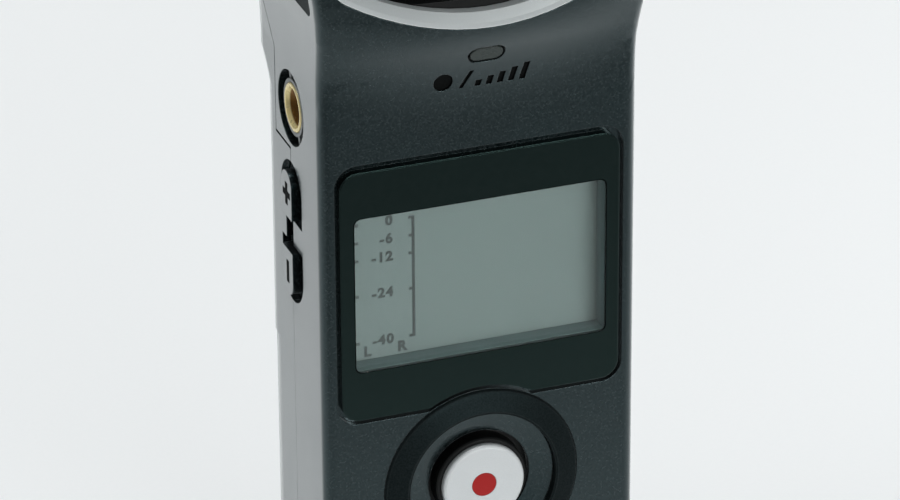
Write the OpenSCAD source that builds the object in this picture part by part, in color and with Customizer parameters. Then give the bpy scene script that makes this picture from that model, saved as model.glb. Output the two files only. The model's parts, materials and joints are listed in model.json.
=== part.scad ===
// Handheld audio recorder: straight body, flared microphone head, display, record button and side keys.
// Frame: X right, Y back, Z up along the length, origin at the middle of the bottom end. Millimetres.

/* [Body] */
// Width of the straight body
body_w = 40; // [39:0.5:42]
// Depth of the straight body
body_d = 22.5; // [22:0.25:24]
// Whole height
total_h = 136; // [134:1:142]
// Wall of the body
wall = 1.8; // [1.6:0.1:2]
// Rounding of the two long front edges
front_edge_r = 1.3; // [1.1:0.1:2]
// Rounding of the two long back edges
back_edge_r = 5.1; // [4.8:0.1:5.5]
// Rounding of the bottom corners seen from the front
foot_r = 5; // [4:0.25:6]
// Rounding of the bottom edge at the front and back
foot_edge = 1.5; // [1:0.1:1.7]

/* [Head] */
// Width of the head
head_w = 44; // [43:0.5:46]
// Depth of the head
head_d = 31; // [30:0.25:32]
// How far the front face lies behind the head's front
face_setback = 4.8; // [4.3:0.1:5.2]
// How far the head's front corners lean forward
corner_lead = 2.7; // [2.4:0.1:3]
// Height where the front starts to flare
flare_z = 84; // [83:0.25:85]
// Height where the sides start to flare
side_flare_z = 88.9; // [88:0.1:90]
// Height where the front corners start to lean forward
corner_flare_z = 92; // [91:0.25:93]
// Height where the rear starts to flare
rear_flare_z = 84.7; // [84.5:0.1:85]
// Height where the rear flare ends
rear_bend_z = 88.5; // [88:0.1:89]
// How far the rear flare goes back
rear_bulge = 3.6; // [3.3:0.1:3.7]
// Height over which the rear leans on to the head's back
rear_lean_h = 13; // [12:0.5:14]
// Rounding of the head's back edges
head_edge_r = 5.7; // [5.2:0.1:6.2]
// Height where the head is widest
head_wide_z = 108.5; // [107:0.5:110]
// Wall of the head
head_wall = 2.2; // [2:0.1:2.4]
// Height of the rounded crown
dome_h = 11; // [9:0.5:11]
// How far the crown draws in from the sides
dome_in_w = 9.5; // [8:0.5:10]
// How far the crown draws in from front and back
dome_in_d = 8; // [7:0.5:8.5]
// Top of the ledge that carries the microphone base
ledge_z = 97.6; // [97:0.1:97.8]
// Thickness of the ledge
ledge_t = 1.4; // [1.2:0.1:1.6]
// Height where the microphone cage starts
cage_z = 97.9; // [97.85:0.05:98]
// Thickness of the crown at its top
crown_t = 6; // [5:0.5:7]

/* [Microphone cage] */
// Height of the front opening's lowest point
opening_z = 98.6; // [98.5:0.05:98.9]
// Width of the front opening
opening_w = 39; // [38:0.25:39.5]
// Radius of the front opening's lower edge
opening_arc_r = 34; // [32:0.5:38]
// Lower corner radius of the front opening
opening_corner_r = 4; // [3:0.25:5]
// Upper corner radius of the front opening
opening_top_r = 9; // [7:0.5:11]
// Top of the front opening
opening_top_z = 127; // [125:0.5:128]
// Width of the trim ring seen from the front
trim_w = 1.5; // [1.2:0.1:1.8]
// Depth of the trim ring
trim_d = 2.7; // [2.4:0.1:3]
// Gap between the trim ring and the shell
trim_gap = 0.05; // [0.03:0.01:0.1]
// Lower edge of the side windows
side_window_z = 101; // [100.5:0.25:102]
// Upper edge of the side windows
side_window_top = 123; // [121:0.5:124]
// Front edge of the side windows behind the head's front
side_window_front = 4.5; // [4.2:0.1:5]
// Length of the side windows from front to back
side_window_l = 16; // [14:0.5:17]
// Width of the rear opening
rear_opening_w = 30; // [26:0.5:32]
// Lower edge of the rear opening
rear_opening_z = 102; // [101:0.5:104]
// Upper edge of the rear opening
rear_opening_top = 124; // [122:0.5:125]

/* [Parting line] */
// Parting line behind the front face, below the step
seam_d = 10.8; // [10.5:0.1:11.1]
// Parting line behind the front face, above the step
seam_high_d = 16.2; // [16:0.1:16.5]
// Height of the step in the parting line
seam_step_z = 79.5; // [79:0.1:79.8]
// Parting line in front of the head's back
seam_head_d = 6.7; // [6.3:0.1:7]
// Height where the parting line starts to lean back
seam_bend_z = 90.6; // [90.5:0.1:91]
// Height where the parting line reaches the head
seam_head_z = 95; // [94.5:0.1:95.5]
// Gap between the two shells at the step
step_gap = 0.3; // [0.2:0.02:0.36]
// Gap between the two shells
seam_gap = 0.1; // [0.06:0.02:0.16]

/* [Display] */
// Middle height of the display
display_z = 64.05; // [63.8:0.05:64.3]
// Middle height of the window plate
plate_z = 63.8; // [63.6:0.05:64]
// Width of the window plate
plate_w = 35.7; // [35.3:0.1:35.9]
// Height of the window plate
plate_h = 33.3; // [33:0.1:33.6]
// Corner radius of the window plate
plate_r = 2.3; // [2:0.1:3]
// How far the window plate stands out of the face
plate_proud = 0.3; // [0.2:0.05:0.5]
// Depth of the window plate's seat in the face
plate_seat = 0.9; // [0.8:0.05:1]
// Gap at the sides and bottom of the window plate
plate_gap = 0.4; // [0.3:0.02:0.46]
// Gap at the top of the window plate
plate_top_gap = 0.7; // [0.5:0.1:0.8]
// Bevel of the window plate's front edge
plate_bevel = 0.12; // [0.08:0.02:0.2]
// Gap between the record ring and the window plate
notch_gap = 0.5; // [0.4:0.05:0.8]
// Width of the clear display area
lcd_w = 32.1; // [31.5:0.1:32.5]
// Height of the clear display area
lcd_h = 20.6; // [20:0.1:21]
// Border of the panel outside the clear area
panel_border = 0.9; // [0.7:0.1:1]
// Thickness of the panel
panel_t = 1; // [0.8:0.05:1.02]
// Gap between the front wall and the panel
panel_back = 1.6; // [1.5:0.02:1.62]
// Rim of the panel holder
holder_rim = 0.7; // [0.6:0.1:0.8]
// Wall of the holder's collar in the front wall
collar_t = 0.45; // [0.35:0.05:0.5]
// Gap between the collar and the front wall
collar_gap = 0.05; // [0.04:0.01:0.08]

/* [Indicator] */
// Height of the indicator lens
led_z = 94.15; // [93.8:0.05:94.5]
// Length of the indicator lens
led_w = 4.1; // [3.7:0.1:4.5]
// Height of the indicator lens across
led_h = 2.05; // [1.8:0.05:2.2]
// Lean of the face at the indicator
led_tilt = 24; // [20:1:28]
// Gap round the indicator lens
led_gap = 0.3; // [0.2:0.01:0.35]

/* [Record button] */
// Height of the record button
record_z = 36; // [35.5:0.1:36.2]
// Outer radius of the raised ring
record_ring_r = 12.45; // [12:0.05:12.6]
// Inner radius of the raised ring
record_ring_in = 9.45; // [9.2:0.05:9.8]
// Height of the raised ring's inner edge
record_rise = 1.05; // [0.8:0.05:1.2]
// Depth of the ring's seat
record_seat = 0.3; // [0.2:0.05:0.4]
// Radius of the hole for the button
record_hole_r = 6.5; // [6.3:0.05:6.8]
// Depth of the dish round the button
dish_depth = 0.8; // [0.6:0.05:0.9]
// Radius of the black button body
record_body_r = 5.85; // [5.7:0.05:6]
// Radius of the pale cap
record_cap_r = 5.25; // [5:0.05:5.4]
// Thickness of the pale cap
record_cap_t = 0.9; // [0.7:0.05:1.1]
// How far the cap stands out of the face
record_proud = 1.1; // [0.9:0.05:1.3]
// Radius of the red dot
dot_r = 1.55; // [1.3:0.05:1.8]
// Depth of the red dot
dot_t = 0.3; // [0.25:0.05:0.4]
// Travel of the record button
record_travel = 0.5; // [0.4:0.05:0.6]

/* [Side keys] */
// Middle of the side keys behind the front face
side_d = 10.8; // [10.7:0.1:11]
// Middle height of the rocker wells
well_z = 68.4; // [68.2:0.1:68.7]
// Length of a rocker well
well_l = 18.6; // [18.3:0.1:19]
// Width of a rocker well
well_w = 7.5; // [7.2:0.1:7.8]
// Height of the tongues between the two halves of a well
tongue_h = 3.4; // [3:0.1:3.6]
// Width of the neck between the tongues
neck_w = 2.6; // [2:0.1:3]
// How far the neck lies behind the middle
neck_off = 0.85; // [0.4:0.05:1]
// Width of a rocker key
rocker_w = 3.7; // [3.4:0.1:4]
// Length of a rocker key
rocker_l = 6; // [5.6:0.1:6.3]
// How far the rocker keys stand out
rocker_proud = 0.65; // [0.5:0.05:0.9]
// Depth of the well's floor
well_floor = 1; // [0.8:0.1:1.2]
// Depth of the marks in the rocker keys
mark_t = 0.2; // [0.15:0.05:0.3]
// Radius of the play key
play_r = 2.7; // [2.4:0.1:2.8]
// Radius of the rewind and forward keys
seek_r = 2.1; // [1.9:0.1:2.2]
// Radius of the delete key
delete_r = 1.7; // [1.5:0.1:1.9]
// Height of the play key
play_z = 33.5; // [33:0.1:34]
// Height of the forward key
forward_z = 41; // [40.7:0.1:41.3]
// Height of the rewind key
rewind_z = 47.3; // [47:0.1:47.6]
// Height of the delete key
delete_z = 53; // [52.8:0.1:53.2]
// How far the round keys stand out
round_proud = 0.5; // [0.3:0.05:0.8]
// Gap round a moving key
key_gap = 0.25; // [0.2:0.01:0.3]
// Width of the flange that keeps a key in
key_lip = 0.8; // [0.6:0.05:0.9]
// Thickness of that flange
key_lip_t = 0.7; // [0.6:0.05:0.8]
// Travel of the side keys
key_travel = 0.5; // [0.4:0.05:0.55]

/* [Power slider] */
// Height of the power slider
power_z = 22.5; // [22:0.1:23]
// Width of the power slider's knob
power_w = 2.8; // [2.5:0.1:3.2]
// Length of the power slider's knob
power_l = 5; // [4.5:0.1:5.4]
// How far the power slider's knob stands out
power_proud = 0.8; // [0.5:0.05:1.1]
// Travel of the power slider to either side
power_travel = 1.5; // [1.2:0.1:1.6]

/* [Jacks and sockets] */
// Height of the two jacks
jack_z = 84.9; // [84.7:0.1:85.1]
// Middle of the two jacks behind the front face
jack_d = 10.4; // [10.2:0.1:10.7]
// Radius of the round recess in the shell
jack_recess_r = 4.7; // [4.5:0.05:4.9]
// Radius of the jack's collar
jack_collar_r = 3.55; // [3.45:0.05:3.7]
// Outer radius of the metal ferrule
ferrule_r = 3.05; // [2.9:0.05:3.1]
// Radius of the plug bore
plug_r = 1.8; // [1.75:0.01:1.85]
// Depth of the plug bore
plug_depth = 12; // [11:0.25:12.5]
// Length of the ferrule
ferrule_l = 3.4; // [3:0.1:4]
// How far the ferrule's rim lies inside the side
ferrule_in = 0.15; // [0.05:0.05:0.4]
// Size of the jack's body across
jack_size = 7; // [6.8:0.1:7.2]
// Length of the jack's body
jack_l = 11.5; // [11.4:0.1:12.5]
// Width of the two webs beside the jack's collar
web_w = 0.7; // [0.5:0.05:0.9]
// Lean of the two webs
web_turn = 22; // [10:1:40]
// Height of the data socket
usb_z = 11; // [10.8:0.1:11.2]
// Width of the data socket
usb_w = 7.8; // [7.4:0.1:8]
// Thickness of the data socket
usb_t = 3.8; // [3.6:0.1:4]
// Length of the data socket
usb_l = 9; // [8.5:0.1:9.3]
// Height of the card cover's middle
card_z = 17; // [16.5:0.1:17.5]
// Length of the card cover
card_l = 13.6; // [13.4:0.1:14]
// Width of the card cover
card_w = 6.9; // [6.7:0.05:7.1]
// Front edge of the card cover behind the front face
card_d = 6; // [5.9:0.05:6.1]
// Thickness of the card cover
card_t = 1.25; // [1.1:0.05:1.3]
// Radius of the card cover's hinge barrel
card_barrel_r = 0.85; // [0.8:0.01:0.87]
// Radius of the card cover's hinge pin
card_pin_r = 0.45; // [0.4:0.01:0.48]
// Gap between the hinge pin and its hole
pin_gap = 0.06; // [0.04:0.01:0.09]
// Length of the card socket
card_socket_l = 12.6; // [12:0.1:13]
// Thickness of the card socket
card_socket_t = 1.6; // [1.4:0.1:1.7]
// Width of the card socket
card_socket_w = 12.8; // [12.4:0.1:13.2]
// Wall of the card socket
card_socket_wall = 0.35; // [0.3:0.01:0.4]

/* [Back] */
// Height of the three rear switches
switch_z = 83.2; // [83:0.1:83.4]
// Distance between the rear switches
switch_pitch = 11; // [10.8:0.1:11.2]
// Width of a rear switch knob
knob_w = 3; // [2.6:0.1:3.2]
// Height of a rear switch knob
knob_h = 1.8; // [1.6:0.1:2]
// How far a rear switch knob stands out
knob_proud = 0.6; // [0.4:0.05:0.9]
// Travel of a rear switch
switch_travel = 2; // [1.6:0.1:2.2]
// Thickness of the switch board
switch_board_t = 1; // [0.8:0.1:1.1]
// Length of the switch board
switch_board_w = 31; // [30:0.5:33]
// Height of the switch board
switch_board_h = 5; // [4.6:0.1:5.2]
// Length of a rear switch
switch_l = 7.6; // [7:0.1:8]
// Height of a rear switch
switch_h = 3.6; // [3.4:0.1:3.8]
// Depth of a rear switch
switch_t = 2.1; // [1.9:0.05:2.2]
// Height of the loudspeaker
speaker_z = 74.4; // [74.3:0.1:74.6]
// Radius of the loudspeaker
speaker_r = 6; // [5.7:0.05:6.1]
// Depth of the loudspeaker
speaker_t = 3.4; // [3:0.1:3.6]
// Height of the tripod insert
tripod_z = 62.4; // [62.3:0.05:62.7]
// Outer radius of the tripod insert
tripod_r = 4.5; // [4.3:0.05:4.6]
// Radius of the threaded hole's wall
thread_r = 2.6; // [2.55:0.01:2.65]
// Depth of the threaded hole
thread_depth = 6.2; // [5.5:0.1:6.4]
// Length of the tripod insert
tripod_l = 6.8; // [6.6:0.1:7]
// Wall of the boss round the tripod insert
boss_wall = 1.2; // [1:0.1:1.3]

/* [Battery] */
// Radius of the cell
cell_r = 7.2; // [7:0.05:7.25]
// Length of the cell with its cap
cell_l = 50.5; // [49.5:0.1:50.7]
// Radius of the cell's cap
cell_cap_r = 2.7; // [2.4:0.05:2.8]
// Height of the cell's cap
cell_cap_h = 1.3; // [1:0.1:1.5]
// Lower end of the cell
cell_z = 3.2; // [3.1:0.05:3.3]
// Top edge of the battery door
door_z = 51.4; // [51.2:0.1:51.6]
// Depth of the battery door
door_d = 6.15; // [6:0.05:6.2]
// How far the battery door lies inside the shell's surface
door_in = 0.15; // [0.1:0.01:0.2]
// Wall of the battery door
door_wall = 1.5; // [1.4:0.05:1.6]
// Gap round the battery door
door_gap = 0.15; // [0.1:0.01:0.2]
// Distance between the grip grooves of the door
grip_pitch = 1.6; // [1.4:0.05:1.8]
// Length of the grip grooves
grip_w = 13; // [11:0.5:14]
// Width of the grip grooves
grip_t = 0.8; // [0.6:0.05:1]
// Gap between the cell and the walls beside it
cell_gap = 0.4; // [0.3:0.02:0.5]
// Thickness of the walls beside the cell
bay_wall = 1; // [0.9:0.05:1.1]
// Gap between the main board and those walls
bay_gap = 2.2; // [2:0.1:2.4]
// Height of the wall above the cell
bay_top = 55.7; // [55.6:0.05:55.9]

/* [Boards] */
// Width of the main board
board_w = 32.8; // [32:0.1:33]
// Thickness of the main board
board_t = 1.2; // [1:0.1:1.25]
// Lower edge of the main board
board_z = 2.8; // [2.6:0.1:3.2]
// Upper edge of the main board
board_top = 89.4; // [89:0.1:89.6]
// Gap between the front wall and the main board
board_gap = 2.7; // [2.65:0.05:2.75]
// Gap between pieces that rest on each other
rest_gap = 0.04; // [0.02:0.01:0.06]
// Size of the processor chip
chip_w = 12; // [10:0.5:13]
// Height of the processor chip
chip_z = 15; // [14:0.5:16]
// Width of the two memory chips
memory_w = 5.5; // [4:0.5:6]
// Length of the two memory chips
memory_l = 7; // [6:0.5:8]
// Sideways place of the memory chips
memory_x = 11; // [10:0.5:12]
// Height of the memory chips
memory_z = 24; // [23.5:0.5:24.5]
// Thickness of the chips
chip_t = 1.2; // [0.9:0.1:1.4]
// Size of a side switch
press_w = 4; // [3.6:0.1:4.2]
// Depth of a side switch behind its plunger
press_l = 2.5; // [2.2:0.1:2.8]
// Radius of a side switch's plunger
plunger_r = 0.8; // [0.7:0.05:0.9]
// How far a plunger stands out of its switch
plunger_l = 0.45; // [0.4:0.05:0.5]

/* [Screws] */
// Radius of a screw shaft
screw_r = 0.95; // [0.85:0.05:1]
// Radius of a screw head
screw_head_r = 1.9; // [1.7:0.05:2]
// Height of a screw head
screw_head_t = 1.3; // [1.1:0.05:1.4]
// Length of a screw shaft
screw_l = 9; // [8.5:0.1:9.2]
// Sideways place of the upper screws
screw_top_x = 13.5; // [13.2:0.1:13.8]
// Height of the upper screws
screw_top_z = 93; // [92.8:0.1:93.2]
// Sideways place of the lower screws
screw_low_x = 10.8; // [10.7:0.05:10.9]
// Height of the lower screws
screw_low_z = 49.2; // [49:0.1:49.4]

/* [Microphones] */
// Radius of a microphone capsule
capsule_r = 4.9; // [4.5:0.05:5]
// Length of a microphone capsule
capsule_l = 15; // [13:0.25:16]
// Height of the lower capsule above its base
capsule_lift = 6.4; // [6.3:0.05:6.6]
// Distance between the two capsules
capsule_pitch = 10.4; // [10.2:0.05:10.8]
// Angle between each capsule and the front
capsule_angle = 45; // [40:1:50]
// Wall of the sleeves that hold the capsules
sleeve_wall = 1.1; // [0.9:0.05:1.2]
// Length of a sleeve
sleeve_l = 8; // [7:0.25:8.5]
// Sideways place of the two posts that carry the sleeves
post_x = 7; // [6.6:0.1:7.2]
// Radius of those posts
post_r = 2; // [1.7:0.1:2.2]
// Height of the microphone base
base_t = 3.7; // [3.4:0.1:3.9]

/* [Hidden] */
$fn = 24;

head_front = -head_d / 2;
head_back = head_d / 2;
face_y = head_front + face_setback;
back_y = face_y + body_d;
side_x = body_w / 2;
reach = head_w;
seam_y = face_y + seam_d;
seam_high_y = face_y + seam_high_d;
seam_head_y = head_back - seam_head_d;
side_y = face_y + side_d;
jack_y = face_y + jack_d;
card_front = face_y + card_d;
door_y = back_y - door_d;
inner_x = side_x - wall;
dome_z = total_h - dome_h;
lip_z = opening_z - 0.4;
board_front = face_y + wall + board_gap;
board_back = board_front + board_t;
lip_outer = inner_x - 0.2;
lip_inner = lip_outer - key_lip_t;
cell_y = back_y - door_wall - 0.3 - cell_r;
card_hinge_x = -side_x + 0.15 + card_barrel_r;
card_hinge_y = card_front + card_w - card_barrel_r;
base_top = ledge_z + rest_gap + base_t;
lower_capsule_z = base_top + capsule_lift;
upper_capsule_z = lower_capsule_z + capsule_pitch;
switch_face = back_y - wall - 1.1;
switch_board_y = switch_face - switch_t - rest_gap - switch_board_t;

// Colours, one per material
case_grey = [0.17, 0.2, 0.21];
black = [0.05, 0.06, 0.06];
silver = [0.7, 0.72, 0.73];
gold = [0.8, 0.72, 0.45];
board_green = [0.1, 0.3, 0.2];
glass_grey = [0.42, 0.48, 0.47];
red = [0.6, 0.15, 0.13];
white = [0.85, 0.85, 0.83];

// Sections of the housing at a height z

function clip(t) = max(0, min(1, t));
function ease(a, b, z, p) = pow(clip((z - a) / (b - a)), p);
function crown(z) = 1 - sqrt(max(0, 1 - pow(clip((z - dome_z) / dome_h), 2)));
function foot(z, r) = z >= r ? 0 : 1 - sqrt(max(0, 1 - pow(1 - z / r, 2)));
function half_w(z) = side_x + (head_w - body_w) / 2 * ease(side_flare_z, head_wide_z, z, 2)
  - dome_in_w * crown(z) - foot_r * foot(z, foot_r);
function front_mid(z) = face_y - face_setback * ease(flare_z, lip_z, z, 2.15)
  + dome_in_d * crown(z) + foot_edge * foot(z, foot_edge);
function front_corner(z) = face_y - corner_lead * ease(corner_flare_z, opening_z + 4, z, 1)
  + dome_in_d * crown(z) + foot_edge * foot(z, foot_edge);
function back_mid(z) = back_y + rear_bulge * ease(rear_flare_z, rear_bend_z, z, 1.3)
  + (head_back - back_y - rear_bulge) * ease(rear_bend_z, rear_bend_z + rear_lean_h, z, 1)
  - dome_in_d * crown(z) - foot_edge * foot(z, foot_edge);
function back_r(z) = back_edge_r + (head_edge_r - back_edge_r) * ease(rear_flare_z, rear_bend_z, z, 1);
function arc_r(w, h) = (w * w + h * h) / (2 * h);
function front_at(x, z) = let (h = max(front_corner(z) - front_mid(z), 0.02), r = arc_r(half_w(z), h))
  front_mid(z) + r - sqrt(r * r - x * x);

// Outline at a height, drawn in by inset, counter-clockwise from the front left corner
function section(z, inset) = let (
    w = half_w(z) - inset,
    yf = front_mid(z) + inset,
    yb = back_mid(z) - inset,
    h = front_corner(z) - front_mid(z),
    flat = h < 0.001,
    r = flat ? 1 : arc_r(w, h),
    rf = max(0.5, front_edge_r - inset * 0.8),
    rb = max(1.5, back_r(z) - inset),
    fx = w - rf,
    fy = flat ? yf + rf : yf + r - sqrt(pow(r - rf, 2) - fx * fx),
    a = flat ? 0 : atan2(fx, yf + r - fy))
  concat(
    [for (i = [0:14]) let (k = i / 7 - 1) flat ? [fx * k, yf] : [r * sin(a * k), yf + r - r * cos(a * k)]],
    [for (i = [1:4]) let (t = (a - 90) * (1 - i / 4)) [fx + rf * cos(t), fy + rf * sin(t)]],
    [for (i = [0:6]) [w - rb + rb * cos(i * 15), yb - rb + rb * sin(i * 15)]],
    [for (i = [6:12]) [-w + rb + rb * cos(i * 15), yb - rb + rb * sin(i * 15)]],
    [for (i = [0:3]) let (t = 180 + (90 - a) * i / 4) [-fx + rf * cos(t), fy + rf * sin(t)]]);

flare_levels = concat([flare_z],
  [for (i = [0:4]) rear_flare_z + (rear_bend_z - rear_flare_z) * i / 4],
  [for (i = [1:5]) rear_bend_z + (lip_z - rear_bend_z) * i / 5],
  [for (i = [1:4]) lip_z + (head_wide_z - lip_z) * i / 4]);
outer_levels = concat(
  [for (i = [0:3]) foot_edge * (1 - cos(i * 30))],
  [for (i = [1:3]) foot_edge + (foot_r - foot_edge) * i / 3],
  flare_levels,
  [for (i = [0:7]) dome_z + dome_h * sin(i * 90 / 7)]);
body_levels = concat([wall, foot_r], [for (z = flare_levels) if (z < ledge_z - ledge_t - 0.2) z],
  [ledge_z - ledge_t]);
chamber_levels = concat([ledge_z], [for (z = flare_levels) if (z > ledge_z + 0.5) z],
  [dome_z, total_h - crown_t]);

module loft(levels, inset) {
  rings = [for (z = levels) section(z, inset)];
  n = len(rings[0]);
  m = len(levels);
  points = [for (i = [0:m - 1]) for (p = rings[i]) [p[0], p[1], levels[i]]];
  walls = [for (i = [0:m - 2]) for (j = [0:n - 1]) let (k = (j + 1) % n)
    [i * n + j, (i + 1) * n + j, (i + 1) * n + k, i * n + k]];
  halves = [for (q = walls) for (t = [[q[0], q[1], q[2]], [q[0], q[2], q[3]]]) t];
  polyhedron(points, concat(halves, [[for (j = [0:n - 1]) j]], [[for (j = [0:n - 1]) m * n - 1 - j]]));
}

// The front opening's edge as [x, z, inward x, inward z], counter-clockwise seen from the front

function edge_arc(cx, cz, r, a0, a1, n) = [for (i = [0:n]) let (a = a0 + (a1 - a0) * i / n)
  [cx + r * cos(a), cz + r * sin(a), -cos(a), -sin(a)]];
low_x = opening_w / 2 - opening_corner_r;
low_span = opening_arc_r - opening_corner_r;
low_z = opening_z + opening_arc_r - sqrt(low_span * low_span - low_x * low_x);
low_a = asin(low_x / low_span);
high_x = opening_w / 2 - opening_top_r;
high_z = opening_top_z - opening_top_r;
opening_edge = concat(
  [for (i = [1:15]) edge_arc(0, opening_z + opening_arc_r, opening_arc_r, 270 - low_a, 270 + low_a, 16)[i]],
  edge_arc(low_x, low_z, opening_corner_r, low_a - 90, 0, 6),
  edge_arc(high_x, high_z, opening_top_r, 0, 90, 9),
  edge_arc(-high_x, high_z, opening_top_r, 90, 180, 9),
  edge_arc(-low_x, low_z, opening_corner_r, 180, 270 - low_a, 6));

// Plain shapes used in many places

module along_x(x0, x1) translate([x0, 0, 0]) rotate([90, 0, 90]) linear_extrude(x1 - x0) children();
module along_y(y0, y1) translate([0, y1, 0]) rotate([90, 0, 0]) linear_extrude(y1 - y0) children();
module to_front(x, y, z) translate([x, y, z]) rotate([90, 0, 0]) children();
module to_back(x, y, z) translate([x, y, z]) rotate([-90, 0, 0]) children();
module to_left(x, y, z) translate([x, y, z]) rotate([0, -90, 0]) children();
module flip() mirror([1, 0, 0]) children();
module box(x0, x1, y0, y1, z0, z1) translate([x0, y0, z0]) cube([x1 - x0, y1 - y0, z1 - z0]);
module rounded(w, h, r) hull()
  for (sx = [-1, 1], sy = [-1, 1]) translate([sx * (w / 2 - r), sy * (h / 2 - r)]) circle(r);
module pill(w, h) hull()
  for (s = [-1, 1]) translate([s * (w - h) / 2, 0]) circle(h / 2);

// Cut-outs shared by the two shells

module well_half(gap) intersection() {
  rotate(90) pill(well_l - 2 * gap, well_w - 2 * gap, $fn = 40);
  translate([-well_w, tongue_h / 2 + gap]) square([2 * well_w, well_l]);
}
module well_cut() along_x(-side_x - 3, -inner_x + 1) translate([side_y, well_z]) {
  well_half(0);
  mirror([0, 1]) well_half(0);
  translate([neck_off - neck_w / 2, -tongue_h]) square([neck_w, 2 * tongue_h]);
}
module round_key_cut(z, r) translate([inner_x - 1, side_y, z]) rotate([0, 90, 0])
  cylinder(r = r + key_gap, h = 6);
module side_cuts() {
  well_cut();
  flip() well_cut();
  round_key_cut(play_z, play_r);
  round_key_cut(forward_z, seek_r);
  round_key_cut(rewind_z, seek_r);
  round_key_cut(delete_z, delete_r);
  along_x(inner_x - 1, side_x + 3) translate([side_y, power_z])
    rotate(90) pill(power_l + 2 * power_travel + 2 * key_gap, power_w + 2 * key_gap);
  along_x(inner_x - 1, side_x + 3) translate([board_back + rest_gap + usb_t / 2, usb_z])
    rounded(usb_t + 0.7, usb_w + 0.7, 0.8);
  for (s = [-1, 1]) translate([s * side_x - 3, jack_y, jack_z]) rotate([0, 90, 0])
    cylinder(r = jack_recess_r, h = 6, $fn = 48);
  along_x(-side_x - 3, -inner_x + 1) translate([card_front + card_w / 2, card_z])
    rounded(card_w + 2 * door_gap, card_l + 2 * door_gap, 0.4);
  translate([card_hinge_x, card_hinge_y, card_z - card_l / 2 - 1.1])
    cylinder(r = card_pin_r + pin_gap, h = card_l + 2.2);
}
module cage_cuts() {
  along_y(-reach, 0) polygon([for (p = opening_edge) [p[0], p[1]]]);
  along_y(0, reach) translate([0, (rear_opening_z + rear_opening_top) / 2])
    rounded(rear_opening_w, rear_opening_top - rear_opening_z, 7);
  along_x(-reach, reach) translate([head_front + side_window_front + side_window_l / 2,
    (side_window_z + side_window_top) / 2]) rounded(side_window_l, side_window_top - side_window_z, 1.2);
}
module screw_cut(x, z, y) {
  to_back(x, screw_start, z) cylinder(r = screw_r + 0.06, h = y - screw_start);
  to_back(x, y, z) cylinder(r = screw_head_r + 0.2, h = 12);
}
module screw_cuts() for (s = [-1, 1]) {
  screw_cut(s * screw_top_x, screw_top_z, top_seat_y);
  screw_cut(s * screw_low_x, screw_low_z, low_seat_y);
}
top_seat_y = back_mid(screw_top_z) - wall - 0.1;
low_seat_y = door_y + 0.4;
screw_start = face_y + wall + 0.9;

module case_wall() difference() {
  loft(outer_levels, 0);
  loft(body_levels, wall);
  translate([0, 0, ledge_z - ledge_t - 0.1]) linear_extrude(ledge_t + 0.2)
    polygon(section(ledge_z - ledge_t, 4.5));
  loft(chamber_levels, head_wall);
}
module front_side(g) along_x(-reach, reach) polygon([[-reach, -5], [seam_y - g, -5],
  [seam_y - g, seam_step_z + step_gap / 2], [seam_high_y - g, seam_step_z + step_gap / 2],
  [seam_high_y - g, seam_bend_z], [seam_head_y - g, seam_head_z],
  [seam_head_y - g, total_h + 5], [-reach, total_h + 5]]);
module rear_side(g) along_x(-reach, reach) polygon([[reach, -5], [seam_y + g, -5],
  [seam_y + g, seam_step_z - step_gap / 2], [seam_high_y + g, seam_step_z - step_gap / 2],
  [seam_high_y + g, seam_bend_z], [seam_head_y + g, seam_head_z],
  [seam_head_y + g, total_h + 5], [reach, total_h + 5]]);

// Shells

module front_posts() {
  post_y = face_y + wall - 0.3;
  for (s = [-1, 1]) {
    along_y(post_y, board_front - rest_gap) translate([s * screw_low_x, screw_low_z]) circle(2.4);
    along_y(post_y, seam_y - seam_gap / 2) translate([s * screw_low_x, screw_low_z]) circle(1.9);
    along_y(post_y, board_front - rest_gap) translate([s * 12, 8]) circle(2);
    intersection() {
      along_y(front_mid(screw_top_z) + 0.8, head_back) translate([s * screw_top_x, screw_top_z]) circle(2.2);
      loft([screw_top_z - 4, screw_top_z + 4], 1);
      front_side(seam_gap / 2);
    }
  }
}
module plate_outline(grow, top) difference() {
  translate([0, plate_z + top / 2])
    rounded(plate_w + 2 * grow, plate_h + 2 * grow + top, plate_r + grow, $fn = 40);
  translate([0, record_z]) circle(record_ring_r + notch_gap - grow, $fn = 120);
}
module collar_outline(grow) translate([0, display_z])
  rounded(lcd_w + 2 * collar_t + 2 * grow, lcd_h + 2 * collar_t + 2 * grow, collar_t + 0.3 + grow);
// The front moulding, from the foot to the crown
module front_moulding() difference() {
  union() {
    intersection() {
      case_wall();
      front_side(seam_gap / 2);
    }
    front_posts();
  }
  cage_cuts();
  side_cuts();
  screw_cuts();
  along_y(face_y - 5, face_y + plate_seat) plate_outline(plate_gap, plate_top_gap - plate_gap);
  along_y(face_y - 5, face_y + wall + 1) collar_outline(collar_gap);
  translate([0, front_mid(led_z), led_z]) rotate([90 + led_tilt, 0, 0]) translate([0, 0, -6])
    linear_extrude(12) pill(led_w + 2 * led_gap, led_h + 2 * led_gap);
  to_front(0, face_y, record_z) rotate_extrude($fn = 72) polygon([[0, -4], [record_hole_r, -4],
    [record_hole_r, -dish_depth], [record_ring_in - 0.05, -0.15], [record_ring_in - 0.05, -record_seat],
    [record_ring_r + 0.06, -record_seat], [record_ring_r + 0.06, 3], [0, 3]]);
}
module front_shell() color(case_grey) intersection() {
  front_moulding();
  box(-head_w, head_w, -head_d, head_d, -1, cage_z);
}
// The part of the moulding that arches over the microphones
module mic_cage() color(case_grey) intersection() {
  front_moulding();
  box(-head_w, head_w, -head_d, head_d, cage_z, total_h + 1);
}

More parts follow.
